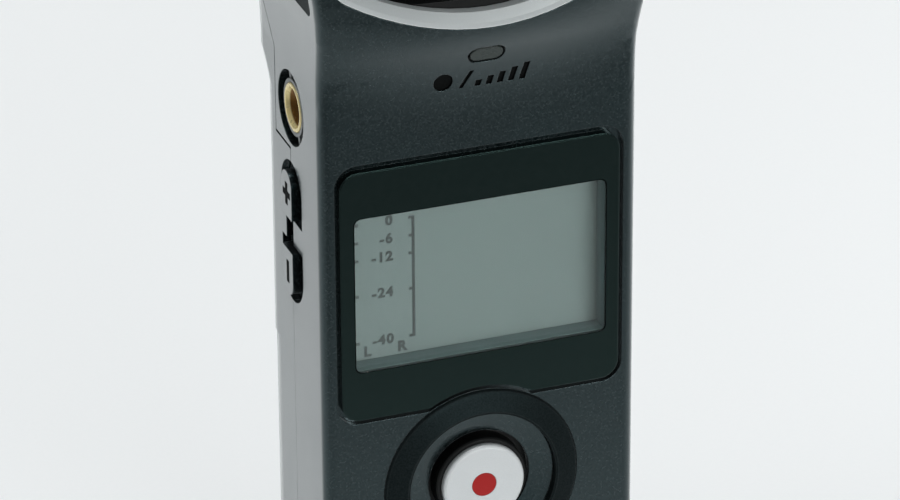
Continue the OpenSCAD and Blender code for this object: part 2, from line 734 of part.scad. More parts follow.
module rear_posts() {
  g = seam_gap / 2;
  bay_x = cell_r + cell_gap;
  // Walls beside and above the cell
  for (s = [-1, 1]) {
    box(min(s * bay_x, s * (bay_x + bay_wall)), max(s * bay_x, s * (bay_x + bay_wall)),
      board_back + bay_gap, back_y - door_wall - 0.9, wall - 0.2, bay_top + 0.5);
    // Rails that guide the door
    difference() {
      union() {
        box(min(s * (side_x - 4.4), s * (inner_x + 0.2)), max(s * (side_x - 4.4), s * (inner_x + 0.2)),
          door_y - 1.25, door_y - 0.1, foot_r, door_z + 1);
        box(min(s * (side_x - 4.4), s * (side_x - 2.8)), max(s * (side_x - 4.4), s * (side_x - 2.8)),
          door_y - 1.25, door_y + 2.65, foot_r, door_z + 1);
      }
      box(min(s * (side_x - 3.6), s * side_x), max(s * (side_x - 3.6), s * side_x),
        door_y + 0.95, door_y + 2.05, 0, door_z + 0.3);
    }
    along_y(seam_y + g, low_seat_y) translate([s * screw_low_x, screw_low_z]) circle(2.3);
    intersection() {
      along_y(0, top_seat_y + 0.5) translate([s * screw_top_x, screw_top_z]) circle(2.5);
      loft([screw_top_z - 4, screw_top_z + 4], 1);
      rear_side(g);
    }
    // Posts for the switch board
    along_y(switch_board_y + switch_board_t + rest_gap, back_mid(switch_z + 1) - wall + 0.4)
      translate([s * switch_pitch / 2, switch_z + 1]) circle(1);
  }
  intersection() {
    box(-inner_x - 0.2, inner_x + 0.2, board_back + 0.4, back_y - wall + 0.2, bay_top, bay_top + 1.1);
    rear_side(g);
  }
  // Boss of the tripod insert and seat of the loudspeaker
  along_y(back_y - tripod_l - 0.6, back_y - wall + 0.2) difference() {
    translate([0, tripod_z]) circle(tripod_r + boss_wall);
    translate([0, speaker_z]) circle(speaker_r + 0.3);
  }
  along_y(back_y - wall - 2.4, back_y - wall + 0.2) translate([0, speaker_z]) difference() {
    circle(speaker_r + 0.75);
    circle(speaker_r + 0.1);
  }
}
module rear_shell() color(case_grey) difference() {
  union() {
    difference() {
      intersection() {
        case_wall();
        rear_side(seam_gap / 2);
      }
      box(-reach, reach, door_y, reach, -5, door_z + door_gap);
    }
    rear_posts();
  }
  cage_cuts();
  side_cuts();
  screw_cuts();
  along_y(back_y - tripod_l - 0.05, reach) translate([0, tripod_z]) circle(tripod_r + 0.05);
  for (i = [-2:2]) along_y(back_y - wall - 0.5, reach) translate([0, speaker_z + i * 1.9])
    pill(10 - abs(i) * 1.4, 0.9);
  for (s = [-1:1]) along_y(back_y - wall - 0.5, reach) translate([s * switch_pitch, switch_z])
    rounded(knob_w + switch_travel + 2 * key_gap, knob_h + 2 * key_gap, 0.5);
}

module trim_ring() color(silver) {
  // Cross section as [inward, back]
  profile = [[0, 0], [0.5, 0.3], [trim_w, 1.4], [trim_w, trim_d], [0, trim_d]];
  n = len(profile);
  m = len(opening_edge);
  points = [for (p = opening_edge) for (q = profile)
    [p[0] + (q[0] + trim_gap) * p[2], front_at(p[0], p[1]) + q[1], p[1] + (q[0] + trim_gap) * p[3]]];
  quads = [for (i = [0:m - 1]) for (j = [0:n - 1]) let (k = (i + 1) % m, l = (j + 1) % n)
    [i * n + j, i * n + l, k * n + l, k * n + j]];
  polyhedron(points, [for (q = quads) for (t = [[q[0], q[1], q[2]], [q[0], q[2], q[3]]]) t]);
}

// Microphones

module mic_base() color(black) translate([0, 0, ledge_z + rest_gap]) linear_extrude(base_t)
  polygon(section(ledge_z, head_wall + 0.2));
module capsule_axis(z, side) translate([0, -1, z]) rotate([90, 0, side * capsule_angle]) children();
module mic_cradle() color(black) difference() {
  union() {
    capsule_axis(lower_capsule_z, -1) cylinder(r = capsule_r + sleeve_wall, h = sleeve_l, center = true);
    capsule_axis(upper_capsule_z, 1) cylinder(r = capsule_r + sleeve_wall, h = sleeve_l, center = true);
    for (s = [-1, 1]) translate([s * post_x, -1, base_top + rest_gap])
      cylinder(r = post_r, h = upper_capsule_z - base_top - rest_gap);
  }
  capsule_axis(lower_capsule_z, -1) cylinder(r = capsule_r + rest_gap, h = reach, center = true);
  capsule_axis(upper_capsule_z, 1) cylinder(r = capsule_r + rest_gap, h = reach, center = true);
}
module capsule(z, side) color(silver) capsule_axis(z, side) translate([0, 0, -capsule_l / 2])
  rotate_extrude() polygon([[0, 0], [capsule_r - 0.4, 0], [capsule_r, 0.4], [capsule_r, capsule_l - 0.5],
    [capsule_r - 0.5, capsule_l], [capsule_r - 0.9, capsule_l], [capsule_r - 0.9, capsule_l - 1],
    [0, capsule_l - 1]]);
module grille(z, side) color(black) capsule_axis(z, side)
  translate([0, 0, capsule_l / 2 - 1 + rest_gap]) difference() {
    cylinder(r = capsule_r - 0.9 - rest_gap, h = 0.6);
    for (k = [1:2], i = [0:k * 6 - 1]) rotate(i * 60 / k) translate([k * 1.5, 0, -1])
      cylinder(r = 0.42, h = 3);
  }
module lower_capsule() capsule(lower_capsule_z, -1);
module upper_capsule() capsule(upper_capsule_z, 1);
module lower_grille() grille(lower_capsule_z, -1);
module upper_grille() grille(upper_capsule_z, 1);

// Display

module window_plate() color(black) {
  along_y(face_y - plate_proud + plate_bevel, face_y + plate_seat - rest_gap) plate_outline(0, 0);
  along_y(face_y - plate_proud, face_y - plate_proud + plate_bevel) plate_outline(-plate_bevel, 0);
}
panel_y = face_y + wall + panel_back;
module display_panel() color(glass_grey) along_y(panel_y, panel_y + panel_t) translate([0, display_z])
  square([lcd_w + 2 * panel_border, lcd_h + 2 * panel_border], center = true);
module panel_holder() color(black) difference() {
  union() {
    along_y(face_y + wall + rest_gap, board_front - rest_gap) translate([0, display_z])
      square([lcd_w + 2 * panel_border + 2 * holder_rim, lcd_h + 2 * panel_border + 2 * holder_rim],
        center = true);
    along_y(face_y + plate_seat, face_y + wall + 2 * rest_gap) collar_outline(0);
  }
  along_y(panel_y - rest_gap, board_front + 1) translate([0, display_z])
    square([lcd_w + 2 * panel_border + 2 * rest_gap, lcd_h + 2 * panel_border + 2 * rest_gap], center = true);
  along_y(face_y, board_front) translate([0, display_z]) square([lcd_w, lcd_h], center = true);
}
module indicator_lens() color(white) translate([0, front_mid(led_z), led_z]) rotate([90 + led_tilt, 0, 0])
  translate([0, 0, -2.4]) linear_extrude(2.4) pill(led_w, led_h);

// Record button

module record_ring() color(black) to_front(0, face_y, record_z) rotate_extrude() polygon([
  [record_ring_in, -record_seat + rest_gap], [record_ring_r, -record_seat + rest_gap], [record_ring_r, 0.05],
  [record_ring_r - 0.2, 0.3], [record_ring_r - 0.65, 0.45], [record_ring_in + 0.3, record_rise - 0.05],
  [record_ring_in, record_rise - 0.2]]);
cap_back = record_proud - record_cap_t;
module record_button() color(black) to_front(0, face_y, record_z) rotate_extrude() polygon([
  [0, -wall - 0.25 - key_lip_t], [record_hole_r + key_lip, -wall - 0.25 - key_lip_t],
  [record_hole_r + key_lip, -wall - 0.25], [record_body_r, -wall - 0.25], [record_body_r, cap_back - 0.2],
  [record_body_r - 0.2, cap_back], [0, cap_back]]);
module record_cap() color(silver) to_front(0, face_y, record_z) rotate_extrude() polygon([
  [0, cap_back + rest_gap], [record_cap_r, cap_back + rest_gap], [record_cap_r, record_proud - 0.35],
  [record_cap_r - 0.1, record_proud - 0.15], [record_cap_r - 0.35, record_proud],
  [dot_r + rest_gap, record_proud], [dot_r + rest_gap, record_proud - dot_t], [0, record_proud - dot_t]]);
module record_dot() color(red) to_front(0, face_y - record_proud + dot_t - rest_gap, record_z)
  cylinder(r = dot_r, h = dot_t - rest_gap);

// Jacks

module jack_body() difference() {
  union() {
    box(-inner_x + 0.3, -inner_x + 0.3 + jack_l, board_back + rest_gap, jack_y + jack_size / 2,
      jack_z - jack_size / 2, jack_z + jack_size / 2);
    to_left(-inner_x + 0.4, jack_y, jack_z) cylinder(r = jack_collar_r, h = wall + 0.1);
    for (s = [-1, 1]) translate([-side_x + 0.5, jack_y, jack_z]) rotate([s * 90 + 90 - web_turn, 0, 0])
      translate([0, -web_w / 2, jack_collar_r - 0.3])
        cube([0.9, web_w, jack_recess_r - jack_collar_r + 0.15]);
  }
  to_left(-side_x + ferrule_in + ferrule_l + rest_gap, jack_y, jack_z)
    cylinder(r = ferrule_r + rest_gap, h = 12);
  to_left(-side_x + ferrule_in + plug_depth, jack_y, jack_z) cylinder(r = plug_r, h = 20);
}
module jack_ferrule() to_left(-side_x + ferrule_in + ferrule_l, jack_y, jack_z) rotate_extrude() polygon([
  [plug_r, 0], [ferrule_r, 0], [ferrule_r, ferrule_l - 0.25], [ferrule_r - 0.25, ferrule_l],
  [plug_r + 0.35, ferrule_l], [plug_r, ferrule_l - 0.4]]);
module headphone_jack() color(black) jack_body();
module headphone_ferrule() color(gold) jack_ferrule();
module line_jack() color(black) flip() jack_body();
module line_ferrule() color(gold) flip() jack_ferrule();

// Keys and sliders

rocker_mid = tongue_h / 2 + 0.5 + rocker_l / 2;
module rocker_outline() translate([0, rocker_mid]) {
  translate([-rocker_w / 2, -rocker_l / 2]) square([rocker_w, rocker_l - rocker_w / 2]);
  translate([0, rocker_l / 2 - rocker_w / 2]) circle(rocker_w / 2);
}
module rocker() {
  along_x(-side_x - rocker_proud, -side_x + well_floor + 0.1) rocker_outline();
  along_x(-side_x + well_floor, -lip_outer + 0.1) well_half(key_gap);
  along_x(-lip_outer, -lip_inner) translate([-well_w / 2 - key_lip, tongue_h / 2 - 0.2])
    square([well_w + 2 * key_lip, well_l / 2 - tongue_h / 2 + key_lip]);
}
module plus_mark() along_x(-side_x - rocker_proud - 1, -side_x - rocker_proud + mark_t)
  translate([0, rocker_mid]) {
    square([2.2, 0.5], center = true);
    square([0.5, 2.2], center = true);
  }
module minus_mark() along_x(-side_x - rocker_proud - 1, -side_x - rocker_proud + mark_t)
  translate([0, rocker_mid]) square([0.5, 2.4], center = true);
module up_key() translate([0, side_y, well_z]) difference() {
  rocker();
  plus_mark();
}
module down_key() translate([0, side_y, well_z]) mirror([0, 0, 1]) difference() {
  rocker();
  minus_mark();
}
module volume_up_key() color(case_grey) up_key();
module volume_down_key() color(case_grey) down_key();
module level_up_key() color(case_grey) flip() up_key();
module level_down_key() color(case_grey) flip() down_key();

module round_key(z, r) color(case_grey) translate([0, side_y, z]) rotate([0, 90, 0])
  rotate_extrude() polygon([[0, lip_inner], [r + key_lip, lip_inner], [r + key_lip, lip_outer],
  [r, lip_outer],
  [r, side_x + round_proud - 0.2], [r - 0.2, side_x + round_proud], [0, side_x + round_proud]]);
module play_key() round_key(play_z, play_r);
module forward_key() round_key(forward_z, seek_r);
module rewind_key() round_key(rewind_z, seek_r);
module delete_key() round_key(delete_z, delete_r);

module power_slider() color(case_grey) translate([0, side_y, power_z]) {
  along_x(lip_outer - 0.1, side_x + power_proud) rotate(90) pill(power_l, power_w);
  along_x(lip_inner, lip_outer)
    square([power_w + 2 * key_lip, power_l + 2 * power_travel + 2], center = true);
  for (i = [-1:1]) translate([side_x + power_proud - 0.1, -power_w / 2 + 0.4, i * 1.1 - 0.2])
    cube([0.3, power_w - 0.8, 0.4]);
}

module knob(x) color(black) translate([x - switch_travel / 2, 0, switch_z]) {
  along_y(back_y - wall - 0.9, back_mid(switch_z) + knob_proud) square([knob_w, knob_h], center = true);
  along_y(back_y - wall - 0.9, back_y - wall - 0.2)
    square([knob_w + 1.2, knob_h + 1], center = true);
}
module left_switch_knob() knob(-switch_pitch);
module middle_switch_knob() knob(0);
module right_switch_knob() knob(switch_pitch);
module rear_switches() color(black) for (s = [-1:1])
  along_y(switch_face - switch_t, switch_face)
    translate([s * switch_pitch, switch_z]) square([switch_l, switch_h], center = true);
module switch_board() color(board_green)
  along_y(switch_board_y, switch_board_y + switch_board_t) translate([0, switch_z + 0.3])
    square([switch_board_w, switch_board_h], center = true);

// Sockets and covers

module usb_socket() color(silver)
  translate([side_x - 0.3 - usb_l, board_back + rest_gap, usb_z - usb_w / 2]) {
  difference() {
    cube([usb_l, usb_t, usb_w]);
    translate([1, 0.35, 0.35]) cube([usb_l, usb_t - 0.7, usb_w - 0.7]);
  }
  translate([0.5, usb_t / 2 - 0.4, 1.6]) cube([usb_l - 1.2, 0.8, usb_w - 3.2]);
}
module card_cover() color(case_grey) difference() {
  union() {
    box(-side_x + 0.15, -side_x + 0.15 + card_t, card_front, card_hinge_y,
      card_z - card_l / 2, card_z + card_l / 2);
    translate([card_hinge_x, card_hinge_y, card_z - card_l / 2]) cylinder(r = card_barrel_r, h = card_l);
    box(-side_x - 0.25, -side_x + 0.3, card_front + 0.5, card_front + 1.1, card_z - 3, card_z + 3);
  }
  translate([card_hinge_x, card_hinge_y, card_z - card_l]) cylinder(r = card_pin_r + pin_gap, h = 2 * card_l);
}
module card_pin() color(silver) translate([card_hinge_x, card_hinge_y, card_z - card_l / 2 - 1])
  cylinder(r = card_pin_r, h = card_l + 2);
module card_socket() color(silver) difference() {
  box(-inner_x + 0.5, -inner_x + 0.5 + card_socket_l, board_back + rest_gap,
    board_back + rest_gap + card_socket_t,
    card_z - card_socket_w / 2, card_z + card_socket_w / 2);
  box(-inner_x - 1, -inner_x - 0.5 + card_socket_l, board_back + rest_gap + card_socket_wall,
    board_back + rest_gap + card_socket_t - card_socket_wall,
    card_z - card_socket_w / 2 + 2 * card_socket_wall, card_z + card_socket_w / 2 - 2 * card_socket_wall);
}

// Back and battery

module loudspeaker() color(black) to_front(0, back_y - wall - 0.15, speaker_z) rotate_extrude() polygon([
  [0, 0.6], [speaker_r - 1.2, 0.6], [speaker_r - 0.8, 0], [speaker_r, 0], [speaker_r, speaker_t * 0.4],
  [speaker_r * 0.6, speaker_t * 0.6], [speaker_r * 0.6, speaker_t], [0, speaker_t]]);
module tripod_insert() color(gold) to_back(0, back_y - 0.1, tripod_z) rotate_extrude() polygon([
  [0, -tripod_l + 0.15], [tripod_r - 0.3, -tripod_l + 0.15], [tripod_r, -tripod_l + 0.45], [tripod_r, 0],
  [thread_r + 0.3, 0], [thread_r, -0.3], [thread_r, -thread_depth], [0, -thread_depth]]);
module battery_door() color(case_grey) difference() {
  union() {
    difference() {
      loft([for (z = outer_levels) if (z <= flare_z) z], door_in);
      box(-reach, reach, -reach, door_y + door_gap, -5, total_h);
      box(-reach, reach, -reach, reach, door_z, total_h);
      loft([door_wall, foot_r, door_z + 5], door_wall);
    }
    // Tongues that run in the rails
    for (s = [-1, 1]) intersection() {
      box(min(s * (side_x - 3.4), s * (side_x - 0.8)), max(s * (side_x - 3.4), s * (side_x - 0.8)),
        door_y + 1.15, door_y + 1.85, foot_r + 1, door_z - 2);
      loft([foot_r, door_z], 0.6);
    }
  }
  for (i = [0:8]) along_y(back_y - 0.35, reach) translate([0, door_z - 7 - i * grip_pitch])
    pill(grip_w, grip_t);
}
module battery_cell() color(silver) translate([0, cell_y, cell_z]) rotate_extrude() polygon([
  [0, 0], [cell_r - 0.4, 0], [cell_r, 0.4], [cell_r, cell_l - cell_cap_h - 0.4],
  [cell_r - 0.4, cell_l - cell_cap_h], [cell_cap_r, cell_l - cell_cap_h], [cell_cap_r, cell_l], [0, cell_l]]);
module leaf(rise) along_x(-3, 3) polygon([[-5, 0], [-3.2, 0], [-0.6, rise - 0.3], [0.6, rise - 0.3],
  [3.2, 0], [4.6, 0],
  [4.6, 0.3], [3.3, 0.3], [0.75, rise], [-0.75, rise], [-3.3, 0.3], [-5, 0.3]]);
module negative_contact() color(silver) translate([0, cell_y, wall + rest_gap])
  leaf(cell_z - wall - 2 * rest_gap);
module positive_contact() color(silver) translate([0, cell_y, bay_top - rest_gap]) mirror([0, 0, 1])
  leaf(bay_top - cell_z - cell_l - 2 * rest_gap);

// Boards

module main_board() color(board_green) along_y(board_front, board_back) difference() {
  translate([-board_w / 2, board_z]) square([board_w, board_top - board_z]);
  for (s = [-1, 1]) translate([s * screw_low_x, screw_low_z]) circle(2.1);
}
module side_switch(z) {
  plunger_end = lip_inner - key_travel - 0.35;
  face = plunger_end - plunger_l;
  box(face - press_l, face, board_back + rest_gap, side_y + press_w / 2, z - press_w / 2, z + press_w / 2);
  translate([face - 1, side_y, z]) rotate([0, 90, 0]) cylinder(r = plunger_r, h = plunger_l + 1);
}
module press_switches() color(silver) {
  to_front(0, board_front - rest_gap, record_z) cylinder(r = 2.6, h = 0.6);
  for (s = [-1, 1]) {
    flip() side_switch(well_z + s * rocker_mid);
    side_switch(well_z + s * rocker_mid);
  }
  for (z = [play_z, forward_z, rewind_z, delete_z]) side_switch(z);
  box(12, lip_inner - 0.4, board_back + rest_gap, side_y + 1.6, power_z - 3.6, power_z + 3.6);
}
module board_chips() color(black) {
  along_y(board_front - rest_gap - chip_t, board_front - rest_gap) {
    translate([0, chip_z]) square(chip_w, center = true);
    for (s = [-1, 1]) translate([s * memory_x, memory_z]) square([memory_w, memory_l], center = true);
  }
  along_y(board_back + rest_gap, board_back + rest_gap + chip_t) {
    translate([0, display_z]) square([memory_l, memory_w], center = true);
    translate([0, jack_z]) square([memory_w, memory_w], center = true);
  }
}
module screw(x, z, y) to_back(x, y + rest_gap, z) {
  translate([0, 0, -screw_l]) cylinder(r = screw_r, h = screw_l + 0.1);
  difference() {
    cylinder(r = screw_head_r, h = screw_head_t);
    translate([-1.2, -0.2, screw_head_t - 0.6]) cube([2.4, 0.4, 1]);
    translate([-0.2, -1.2, screw_head_t - 0.6]) cube([0.4, 2.4, 1]);
  }
}
module case_screws() color(silver) for (s = [-1, 1]) {
  screw(s * screw_top_x, screw_top_z, top_seat_y);
  screw(s * screw_low_x, screw_low_z, low_seat_y);
}

front_shell();
mic_cage();
rear_shell();
trim_ring();
mic_base();
mic_cradle();
lower_capsule();
upper_capsule();
lower_grille();
upper_grille();
window_plate();
display_panel();
panel_holder();
indicator_lens();
record_ring();
record_button();
record_cap();
record_dot();
headphone_jack();
headphone_ferrule();
line_jack();
line_ferrule();
volume_up_key();
volume_down_key();
level_up_key();
level_down_key();
play_key();
forward_key();
rewind_key();
delete_key();
power_slider();
usb_socket();
card_cover();
card_pin();
card_socket();
left_switch_knob();
middle_switch_knob();
right_switch_knob();
rear_switches();
switch_board();
loudspeaker();
tripod_insert();
battery_door();
battery_cell();
negative_contact();
positive_contact();
main_board();
press_switches();
board_chips();
case_screws();
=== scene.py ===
# %% [markdown]
# A handheld sound recorder, dressed for a studio picture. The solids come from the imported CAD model, so
# every piece already has its size and its place. Blender adds what solids lack: finishes, light, a
# camera, and the few pieces that the eye needs, such as the clear window and the marks on the display.

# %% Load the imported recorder
import json
import math

import bmesh
import bpy
from mathutils import Matrix, Vector
from mathutils.bvhtree import BVHTree


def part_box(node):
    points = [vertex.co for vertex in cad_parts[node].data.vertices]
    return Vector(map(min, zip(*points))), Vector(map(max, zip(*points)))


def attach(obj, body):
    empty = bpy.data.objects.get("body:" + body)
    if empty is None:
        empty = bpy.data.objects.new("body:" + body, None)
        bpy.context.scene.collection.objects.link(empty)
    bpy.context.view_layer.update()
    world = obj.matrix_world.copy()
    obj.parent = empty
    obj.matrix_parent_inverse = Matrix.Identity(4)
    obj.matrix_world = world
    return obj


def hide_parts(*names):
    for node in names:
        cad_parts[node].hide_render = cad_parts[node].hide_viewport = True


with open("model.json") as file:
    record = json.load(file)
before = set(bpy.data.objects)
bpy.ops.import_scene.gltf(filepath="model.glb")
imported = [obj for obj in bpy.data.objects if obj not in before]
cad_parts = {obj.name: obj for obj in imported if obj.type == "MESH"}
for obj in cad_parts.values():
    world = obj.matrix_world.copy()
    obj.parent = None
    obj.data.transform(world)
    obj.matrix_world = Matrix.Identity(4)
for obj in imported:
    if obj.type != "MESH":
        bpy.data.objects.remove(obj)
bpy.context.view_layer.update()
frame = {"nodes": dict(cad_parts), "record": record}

MM = 0.001
nodes = frame["nodes"]
scene = bpy.context.scene

# %% [markdown]
# The photograph was taken with a long lens from the left of the front, looking down. A long lens keeps
# the sides of the body almost parallel. The camera is placed from three angles and one aim point, because
# these say more than a matrix does. The aim offset is where the aim point lies as the camera sees it: to
# the right, upward and ahead. The roll is the small lean of a camera held by hand.

# %% Camera
IMAGE_WIDTH = 900
FOCAL_PIXELS = 5300
SENSOR_WIDTH = 36
NEAREST = 0.01
FARTHEST = 20
CAMERA_TURN = math.radians(19.869)
CAMERA_RISE = math.radians(26.754)
CAMERA_ROLL = math.radians(-0.365)
AIM_POINT = Vector((0, -11.5, 64.3)) * MM
AIM_OFFSET = Vector((3.914, -3.132, 632.46)) * MM

sight = Vector((math.sin(CAMERA_TURN) * math.cos(CAMERA_RISE),
                math.cos(CAMERA_TURN) * math.cos(CAMERA_RISE),
                -math.sin(CAMERA_RISE)))
level = Vector((math.cos(CAMERA_TURN), -math.sin(CAMERA_TURN), 0))
upright = level.cross(sight)
right = level * math.cos(CAMERA_ROLL) + upright * math.sin(CAMERA_ROLL)
up = upright * math.cos(CAMERA_ROLL) - level * math.sin(CAMERA_ROLL)
eye = AIM_POINT - right * AIM_OFFSET.x - up * AIM_OFFSET.y - sight * AIM_OFFSET.z

lens = bpy.data.cameras.new("studio_camera")
lens.sensor_fit = "HORIZONTAL"
lens.sensor_width = SENSOR_WIDTH
lens.lens = FOCAL_PIXELS / IMAGE_WIDTH * SENSOR_WIDTH
lens.clip_start = NEAREST
lens.clip_end = FARTHEST
camera = bpy.data.objects.new("studio_camera", lens)
turn = Matrix((right, up, -sight)).transposed().to_4x4()
camera.matrix_world = Matrix.Translation(eye) @ turn
scene.collection.objects.link(camera)
scene.camera = camera
scene.view_settings.view_transform = "Standard"
print("camera at", [round(c, 3) for c in eye], "lens", round(lens.lens, 1))

# %% [markdown]
# Every finish here is a small tree of nodes. The same few things make a surface look real: two close
# colours that wander into each other, a roughness that isn't even, a fine grain that breaks up the
# highlights, and edges that are slightly rounded and slightly worn. On a few finishes the edge colour is a
# painted highlight or painted shade instead of wear. These helpers make the steps that the trees share.

# %% Steps of a node tree
def add_node(tree, kind, **settings):
    node = tree.nodes.new(kind)
    for key, value in settings.items():
        setattr(node, key, value)
    return node


def soft_noise(tree, place, size, detail=3.0):
    noise = add_node(tree, "ShaderNodeTexNoise")
    noise.inputs["Scale"].default_value = 1 / size
    noise.inputs["Detail"].default_value = detail
    tree.links.new(place, noise.inputs["Vector"])
    return noise.outputs["Fac"]


def blend_colours(tree, factor, first, second):
    mix = add_node(tree, "ShaderNodeMix", data_type="RGBA")
    tree.links.new(factor, mix.inputs[0])
    for socket, colour in ((mix.inputs[6], first), (mix.inputs[7], second)):
        if isinstance(colour, tuple):
            socket.default_value = (*colour, 1)
        else:
            tree.links.new(colour, socket)
    return mix.outputs[2]


def remap(tree, value, old, new):
    ramp = add_node(tree, "ShaderNodeMapRange")
    for name, number in zip(("From Min", "From Max", "To Min", "To Max"), (*old, *new)):
        ramp.inputs[name].default_value = number
    tree.links.new(value, ramp.inputs["Value"])
    return ramp.outputs["Result"]


# %% [markdown]
# Three more steps need some geometry. An edge is found where the rounded normal turns away from the true
# one. That is where paint is rubbed, and where a few finishes get a painted highlight or painted shade.
# The distance from the middle plane tells how far into the bore of a jack a point lies, and there the gold
# is darkened by painted shade. The grain is a bump over the rounded normal, because it is far too fine to
# model.

# %% Steps that use the geometry
# The edge colour is mixed in up to half: wear on most finishes, a painted highlight or painted shade on a
# few.
EDGE_TURN = (0.995, 0.85)
EDGE_WEAR_AND_LIGHT = (0, 0.5)


def rubbed_edges(tree, rounded):
    facing = add_node(tree, "ShaderNodeVectorMath", operation="DOT_PRODUCT")
    tree.links.new(rounded, facing.inputs[0])
    tree.links.new(add_node(tree, "ShaderNodeNewGeometry").outputs["Normal"], facing.inputs[1])
    return remap(tree, facing.outputs["Value"], EDGE_TURN, EDGE_WEAR_AND_LIGHT)


def side_distance(tree, place):
    axes = add_node(tree, "ShaderNodeSeparateXYZ")
    across = add_node(tree, "ShaderNodeMath", operation="ABSOLUTE")
    tree.links.new(place, axes.inputs[0])
    tree.links.new(axes.outputs["X"], across.inputs[0])
    return across.outputs[0]


def grain_bump(tree, grain, rounded, height):
    bump = add_node(tree, "ShaderNodeBump")
    bump.inputs["Strength"].default_value = 1
    bump.inputs["Distance"].default_value = height
    tree.links.new(grain, bump.inputs["Height"])
    tree.links.new(rounded, bump.inputs["Normal"])
    return bump.outputs["Normal"]


# %% [markdown]
# One helper builds the whole tree, so that all finishes work alike and each gives only its own values.
# Any other socket of the surface, such as its coat, is set by its name.

# %% One tree for every finish
NOISE_RANGE = (0.3, 0.7)
GRAIN_DETAIL = 2.0
EDGE_SAMPLES = 6


def finish(name, colours, rough, mottle=4 * MM, grain=0.15 * MM, grain_height=0.01 * MM, edge=0.12 * MM,
           edge_wear_and_painted_light=None, painted_bore_shade=None, flecks=NOISE_RANGE, **sockets):
    """A material with two colours, a range of roughness, a grain, rounded edges and an edge colour,
    which is wear on most finishes and a painted highlight or painted shade on a few.

    The shade of a bore is painted: a colour that stands in for the shade in the bore of a jack, and the two
    distances from the middle plane between which it fades in.
    Flecks are the part of the grain over which the first colour turns into the second."""
    material = bpy.data.materials.new(name)
    material.use_nodes = True
    tree = material.node_tree
    surface = tree.nodes["Principled BSDF"]
    place = add_node(tree, "ShaderNodeTexCoord").outputs["Object"]
    broad = soft_noise(tree, place, mottle)
    fine = soft_noise(tree, place, grain, GRAIN_DETAIL)
    bevel = add_node(tree, "ShaderNodeBevel", samples=EDGE_SAMPLES)
    bevel.inputs["Radius"].default_value = edge
    rounded = bevel.outputs["Normal"]
    colour = blend_colours(tree, remap(tree, fine, flecks, (0, 1)), *colours)
    # Edge colour: wear, except on the two rings and the lens, where it is a painted highlight or painted
    # shade.
    if edge_wear_and_painted_light:
        colour = blend_colours(tree, rubbed_edges(tree, rounded), colour, edge_wear_and_painted_light)
    # Painted shade: the colour darkens towards the middle plane, standing in for the shade in the bore of a
    # jack.
    if painted_bore_shade:
        tone, *fade = painted_bore_shade
        colour = blend_colours(tree, remap(tree, side_distance(tree, place), fade, (0, 1)), colour, tone)
    tree.links.new(colour, surface.inputs["Base Color"])
    tree.links.new(remap(tree, broad, NOISE_RANGE, rough), surface.inputs["Roughness"])
    tree.links.new(grain_bump(tree, fine, rounded, grain_height), surface.inputs["Normal"])
    tree.links.new(rounded, surface.inputs["Coat Normal"])
    for socket, value in sockets.items():
        surface.inputs[socket.replace("_", " ")].default_value = value
    return material


def dress(material, *names):
    for name in names:
        nodes[name].material_slots[0].material = material
    print(material.name, "on", len(names), "nodes")


# %% [markdown]
# The floor is a wide sheet of pale paper. It is a flat grid, because paper needs no more shape than that,
# and it belongs to the studio and not to the recorder.

# %% Paper floor
FLOOR_REACH = 3
FLOOR_CUTS = 24
paper = finish(
    "pale_paper", ((0.825, 0.845, 0.85), (0.835, 0.853, 0.857)), (0.85, 0.95), mottle=90 * MM,
    grain=0.6 * MM, grain_height=0.003 * MM)
sheet = bmesh.new()
bmesh.ops.create_grid(sheet, x_segments=FLOOR_CUTS, y_segments=FLOOR_CUTS, size=FLOOR_REACH)
floor_mesh = bpy.data.meshes.new("floor")
sheet.to_mesh(floor_mesh)
sheet.free()
floor_mesh.materials.append(paper)
floor = bpy.data.objects.new("floor", floor_mesh)
scene.collection.objects.link(floor)
print("floor", 2 * FLOOR_REACH, "m across")

# %% [markdown]
# The room is dim and even. One broad lamp hangs over the floor behind the recorder and makes it bright
# there. A second stands low, behind the camera, so the shadow that it throws lies behind the recorder. A
# weak third one lifts the floor on the right. The front mirrors the dimmer floor before it, and the side
# mirrors the bright floor behind it, which is why the two look so different in the picture.

# %% Room and lamps
ROOM_TONE = (0.9, 0.94, 0.96, 1)
ROOM_LIGHT = 0.22

world = bpy.data.worlds.new("pale_room")
world.use_nodes = True
scene.world = world
room = world.node_tree.nodes["Background"]
room.inputs["Color"].default_value = ROOM_TONE
room.inputs["Strength"].default_value = ROOM_LIGHT


def soft_lamp(name, place, target, size, power, spread):
    light = bpy.data.lights.new(name, "AREA")
    light.shape = "RECTANGLE"
    light.size, light.size_y = size
    light.energy = power
    light.spread = math.radians(spread)
    lamp = bpy.data.objects.new(name, light)
    lamp.location = place
    lamp.rotation_euler = (Vector(target) - Vector(place)).to_track_quat("-Z", "Y").to_euler()
    scene.collection.objects.link(lamp)


soft_lamp("floor_lamp", place=(0, 0.28, 0.42), target=(0, 0.28, 0), size=(1.4, 0.7), power=2.4, spread=38)
soft_lamp("front_lamp", place=(0.28, -1.2, 0.17), target=(0, 0, 0.07), size=(0.9, 0.24),
          power=3.1, spread=120)
soft_lamp("right_floor_lamp", place=(0.34, -0.02, 0.42), target=(0.34, -0.02, 0), size=(0.3, 0.3),
          power=0.15, spread=45)

# %% [markdown]
# The housing is moulded in a dark plastic with a soft lacquer. Seen square on it is nearly black with a
# little green in it and fine pale flecks, and at a glancing angle it turns pale, because the lacquer
# mirrors the room. That pale side is gloss and not colour, so it comes from a clear coat over a dark
# base.

